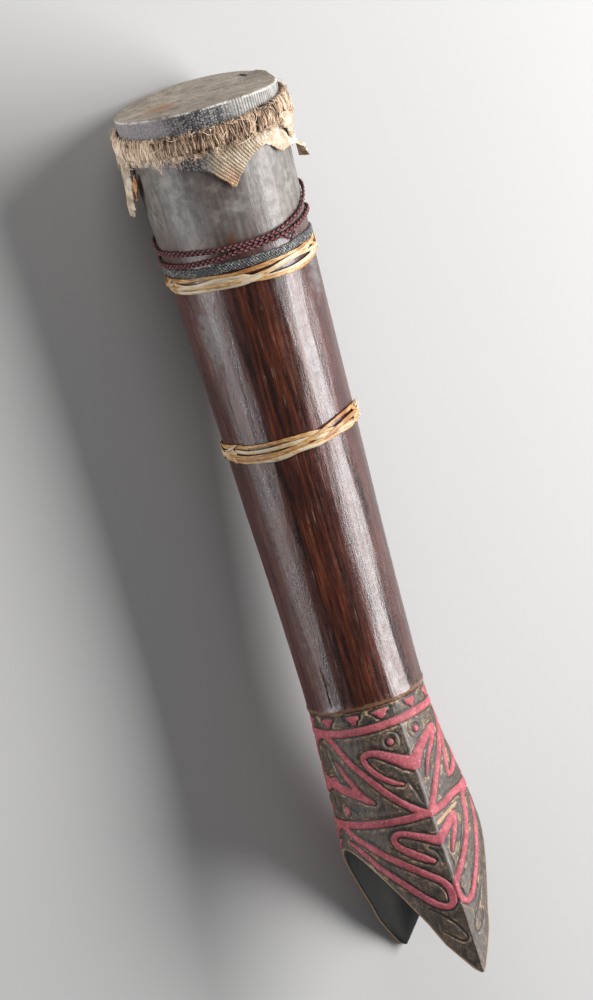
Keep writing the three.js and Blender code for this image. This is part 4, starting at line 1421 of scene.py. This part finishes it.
def grey_material():
    """Dusty string, dark in its knots."""
    material, tree, shader = new_material("grey_string")
    where = add(tree, "ShaderNodeTexCoord").outputs["Object"]
    fuzz = noise(tree, where, 480.0, 4.0, 0.6)
    broad = noise(tree, where, 60.0, 3.0)
    worn = raised(tree, fuzz, attribute(tree, "tone"), 0.22)
    tone = mix(tree, ramp(tree, worn, 0.3, 0.6), srgb(18, 18, 18), srgb(84, 85, 83))
    tone = mix(tree, times(tree, ramp(tree, worn, 0.52, 0.7), ramp(tree, broad, 0.35, 0.6)),
               tone, srgb(168, 169, 166))
    dress(tree, shader, tone, 0.8, fuzz, 0.7, 0.001)
    return material


grey_points, grey_faces, grey_tones = grey_band()
build("grey_string_band", grey_points, grey_faces, grey_material(), "grey_weave", ("grey_band",),
      fields={"tone": grey_tones})

# Cane bands
# Split cane, flat strips laid loosely side by side round the barrel and crossed over
# one another; their ends are plaited back, at the left and at the right.

upper_strips = [
    [(-90, 152), (-70, 152.8), (-50, 152), (-32, 151), (-17, 151.8), (-5, 153), (13, 152), (29, 151.5),
     (45, 151.8), (62, 150.8), (80, 152), (110, 158), (140, 163), (180, 164), (-140, 161), (-110, 155)],
    [(-70, 156.5), (-53, 158), (-33, 157), (-18, 157.2), (-7, 159.2), (6, 160.2), (22, 158), (33, 156),
     (47, 156.2), (61, 157.2), (90, 161), (130, 158), (180, 152), (-140, 150), (-100, 153)],
    [(-100, 152), (-84, 157.5), (-68, 163), (-48, 163.2), (-32, 162.8), (-19, 162), (-4, 162.2),
     (9, 161), (18, 158.6), (30, 155), (45, 153.8), (62, 154), (90, 150), (130, 153), (180, 158),
     (-140, 164), (-120, 158)],
    [(-62, 160.4), (-40, 157.5), (-25, 154.8), (-12, 154), (-2, 156.5), (6, 160.5), (15, 162.8),
     (26, 163.5), (37, 164.2), (49, 164), (60, 163), (75, 160), (100, 154), (140, 151), (180, 155),
     (-130, 163), (-90, 163)],
    [(-30, 159.5), (-10, 160.4), (10, 163), (20, 164.8), (30, 166), (43, 166.6), (58, 166), (74, 164),
     (100, 160), (180, 160), (-90, 158.5)]]
middle_strips = [
    [(-75, 315), (-51, 313), (-42, 314.8), (-28, 314.8), (-17, 314.2), (-6, 313.6), (5, 314.5),
     (15, 314.8), (23, 316.2), (32, 318), (45, 320), (65, 321.5), (90, 325), (130, 327), (180, 325),
     (-140, 320), (-100, 316)],
    [(-80, 321), (-56, 317.5), (-42, 320), (-30, 319.8), (-19, 319.2), (-7, 318.5), (4, 319),
     (14, 319.2), (24, 320.5), (46, 321.4), (65, 322.5), (90, 321), (180, 319), (-120, 324)],
    [(-61, 322), (-44, 323.8), (-31, 324.5), (-20, 325), (-10, 324.8), (-1, 323.2), (12, 320),
     (20, 318), (31, 314), (45, 310.8), (66, 309.6), (85, 311), (110, 316), (150, 322), (180, 326.5),
     (-140, 328), (-100, 322)],
    [(-88, 325.5), (-62, 326.8), (-50, 327.8), (-33, 328.8), (-17, 329), (-7, 328.2), (2, 326.6),
     (12, 326.2), (22, 326.4), (34, 325), (48, 323.8), (64, 323.6), (90, 321), (130, 317), (180, 315),
     (-140, 317), (-110, 322)],
    [(-20, 326.4), (5, 325), (18, 324.2), (29, 322.6), (42, 319), (58, 316), (82, 316), (120, 322),
     (180, 321), (-120, 326), (-60, 324.6)]]
upper_over = [(1.0, 200), (1.0, 120), (2.1, 14), (1.5, 40), (1.9, 30)]
upper_weathered = 0.1
middle_over = [(1.0, -20), (1.2, 60), (2.0, 20), (1.1, 150), (1.9, 45)]


def cane_strips(strips, over, seed_number):
    """Flat strips along their closed lines; each is lifted over the others about one place."""
    random = np.random.default_rng(seed_number)
    steps, sides = 700, 10
    t = np.linspace(-180, 180, steps)
    paths, tones = [], []
    least = min(value for strip in strips for _, value in strip)
    floor_radius = barrel_radius(least) + gap
    for strip, (lift, place_over) in zip(strips, over):
        waves = random.integers(5, 12)
        a = wander(strip, t, 3.0) + 0.25 * np.sin(np.radians(t) * waves + random.uniform(0, 6))
        away = (t - place_over + 180) % 360 - 180
        sway = 0.45 * np.sin(np.radians(t) * 3 + random.uniform(0, 6))
        high = 0.75 + (lift - 0.4) * bell(away, 0, 26) + sway
        paths.append(on_drum(a, view_angle(t), floor_radius + np.maximum(high, 0.6)))
        tones.append(random.uniform(0.2, 0.9))
    paths = np.stack(paths)
    wide = 1.95 + 0.3 * np.sin(np.radians(t) * 4 + np.arange(len(strips))[:, None])
    points, faces = sweep(paths, wide, np.full(wide.shape, 0.5), outward_of(paths), sides)
    return points, faces, np.repeat(tones, steps * sides)


def tied_end(middle, low, high, base, count, seed_number, reach):
    """Short strips that weave across a band where its ends are tucked in, some standing out frayed."""
    random = np.random.default_rng(seed_number)
    parts = []
    for i in range(count):
        first = low + (high - low) * i / max(count - 1, 1)
        last = high - (high - low) * i / max(count - 1, 1)
        turn = random.uniform(-2.5, 2.5)
        path = [(middle - reach + turn, first, base - 0.6),
                (middle - reach * 0.4, first * 0.7 + last * 0.3, base + 0.9),
                (middle + turn, (first + last) / 2, base + 1.2 + 0.5 * (i % 2)),
                (middle + reach * 0.5, first * 0.3 + last * 0.7, base + 0.7),
                (middle + reach + turn, last, base - 0.4)]
        line = open_path(path, 30)
        size = np.linspace(2.0, random.uniform(1.0, 1.7), 30)[None]
        points, faces = sweep(line, size, np.full(size.shape, 0.5), outward_of(line), 8)
        parts.append((points, faces, np.full(len(points), random.uniform(0.4, 1.0))))
    return joined(*parts)


def frayed(places, seed_number):
    """Pointed ends of split cane that stand off the band."""
    random = np.random.default_rng(seed_number)
    parts = []
    for first, last in places:
        line = open_path([first, tuple((np.array(first) + np.array(last)) / 2 + (0, 0, 0.4)), last], 20)
        size = np.linspace(1.9, 0.3, 20)[None] ** 0.8
        points, faces = sweep(line, size, np.full(size.shape, 0.45), outward_of(line), 8)
        parts.append((points, faces, np.full(len(points), random.uniform(0.8, 1.0))))
    return joined(*parts)


def cane_material():
    """Split cane: golden, streaked along each strip, dark in its splits, with a slight gloss."""
    material, tree, shader = new_material("split_cane")
    where = add(tree, "ShaderNodeTexCoord").outputs["Object"]
    stretched = drawn_out(tree, where, (0.14, 1, 0.14))
    fibre = noise(tree, stretched, 900.0, 6.0, 0.6)
    broad = noise(tree, where, 38.0, 5.0, 0.6)
    shade = swayed(tree, broad, attribute(tree, "tone"), 0.5)
    tone = mix(tree, ramp(tree, fibre, 0.36, 0.66), srgb(150, 100, 50), srgb(214, 176, 118))
    tone = tinted(tree, tone, srgb(138, 80, 34), shade, 0.5, 0.3, 0.7)
    tone = tinted(tree, tone, srgb(208, 196, 172), shade, 0.52, 0.7, 0.75)
    tone = tinted(tree, tone, srgb(62, 38, 18), fibre, 0.37, 0.3, 0.8)
    dress(tree, shader, tone, 0.38, fibre, 0.6, 0.0007)
    return material


split_cane = cane_material()
upper_points, upper_faces, upper_tones = joined(
    cane_strips(upper_strips, upper_over, seed + 8), tied_end(-82, 151, 165, 2.2, 4, seed + 10, 14),
    tied_end(78, 151, 165, 2.2, 3, seed + 11, 14))
build("upper_cane_plait", upper_points, upper_faces, split_cane, "cane",
      ("upper_cane_band",), fields={"tone": upper_tones + upper_weathered})
lower_points, lower_faces, lower_tones = joined(
    cane_strips(middle_strips, middle_over, seed + 9), tied_end(-74, 313, 329, 2.4, 6, seed + 12, 18),
    tied_end(82, 310, 325, 2.4, 4, seed + 13, 12),
    frayed([((-66, 317, 3), (-50, 311, 3.4)), ((76, 312, 3.4), (86, 306, 5)),
            ((80, 316, 3.4), (92, 309, 5.5)), ((84, 322, 3), (94, 326, 4.6))], seed + 14))
build("middle_cane_plait", lower_points, lower_faces, split_cane, "cane",
      ("middle_cane_band",), fields={"tone": lower_tones})
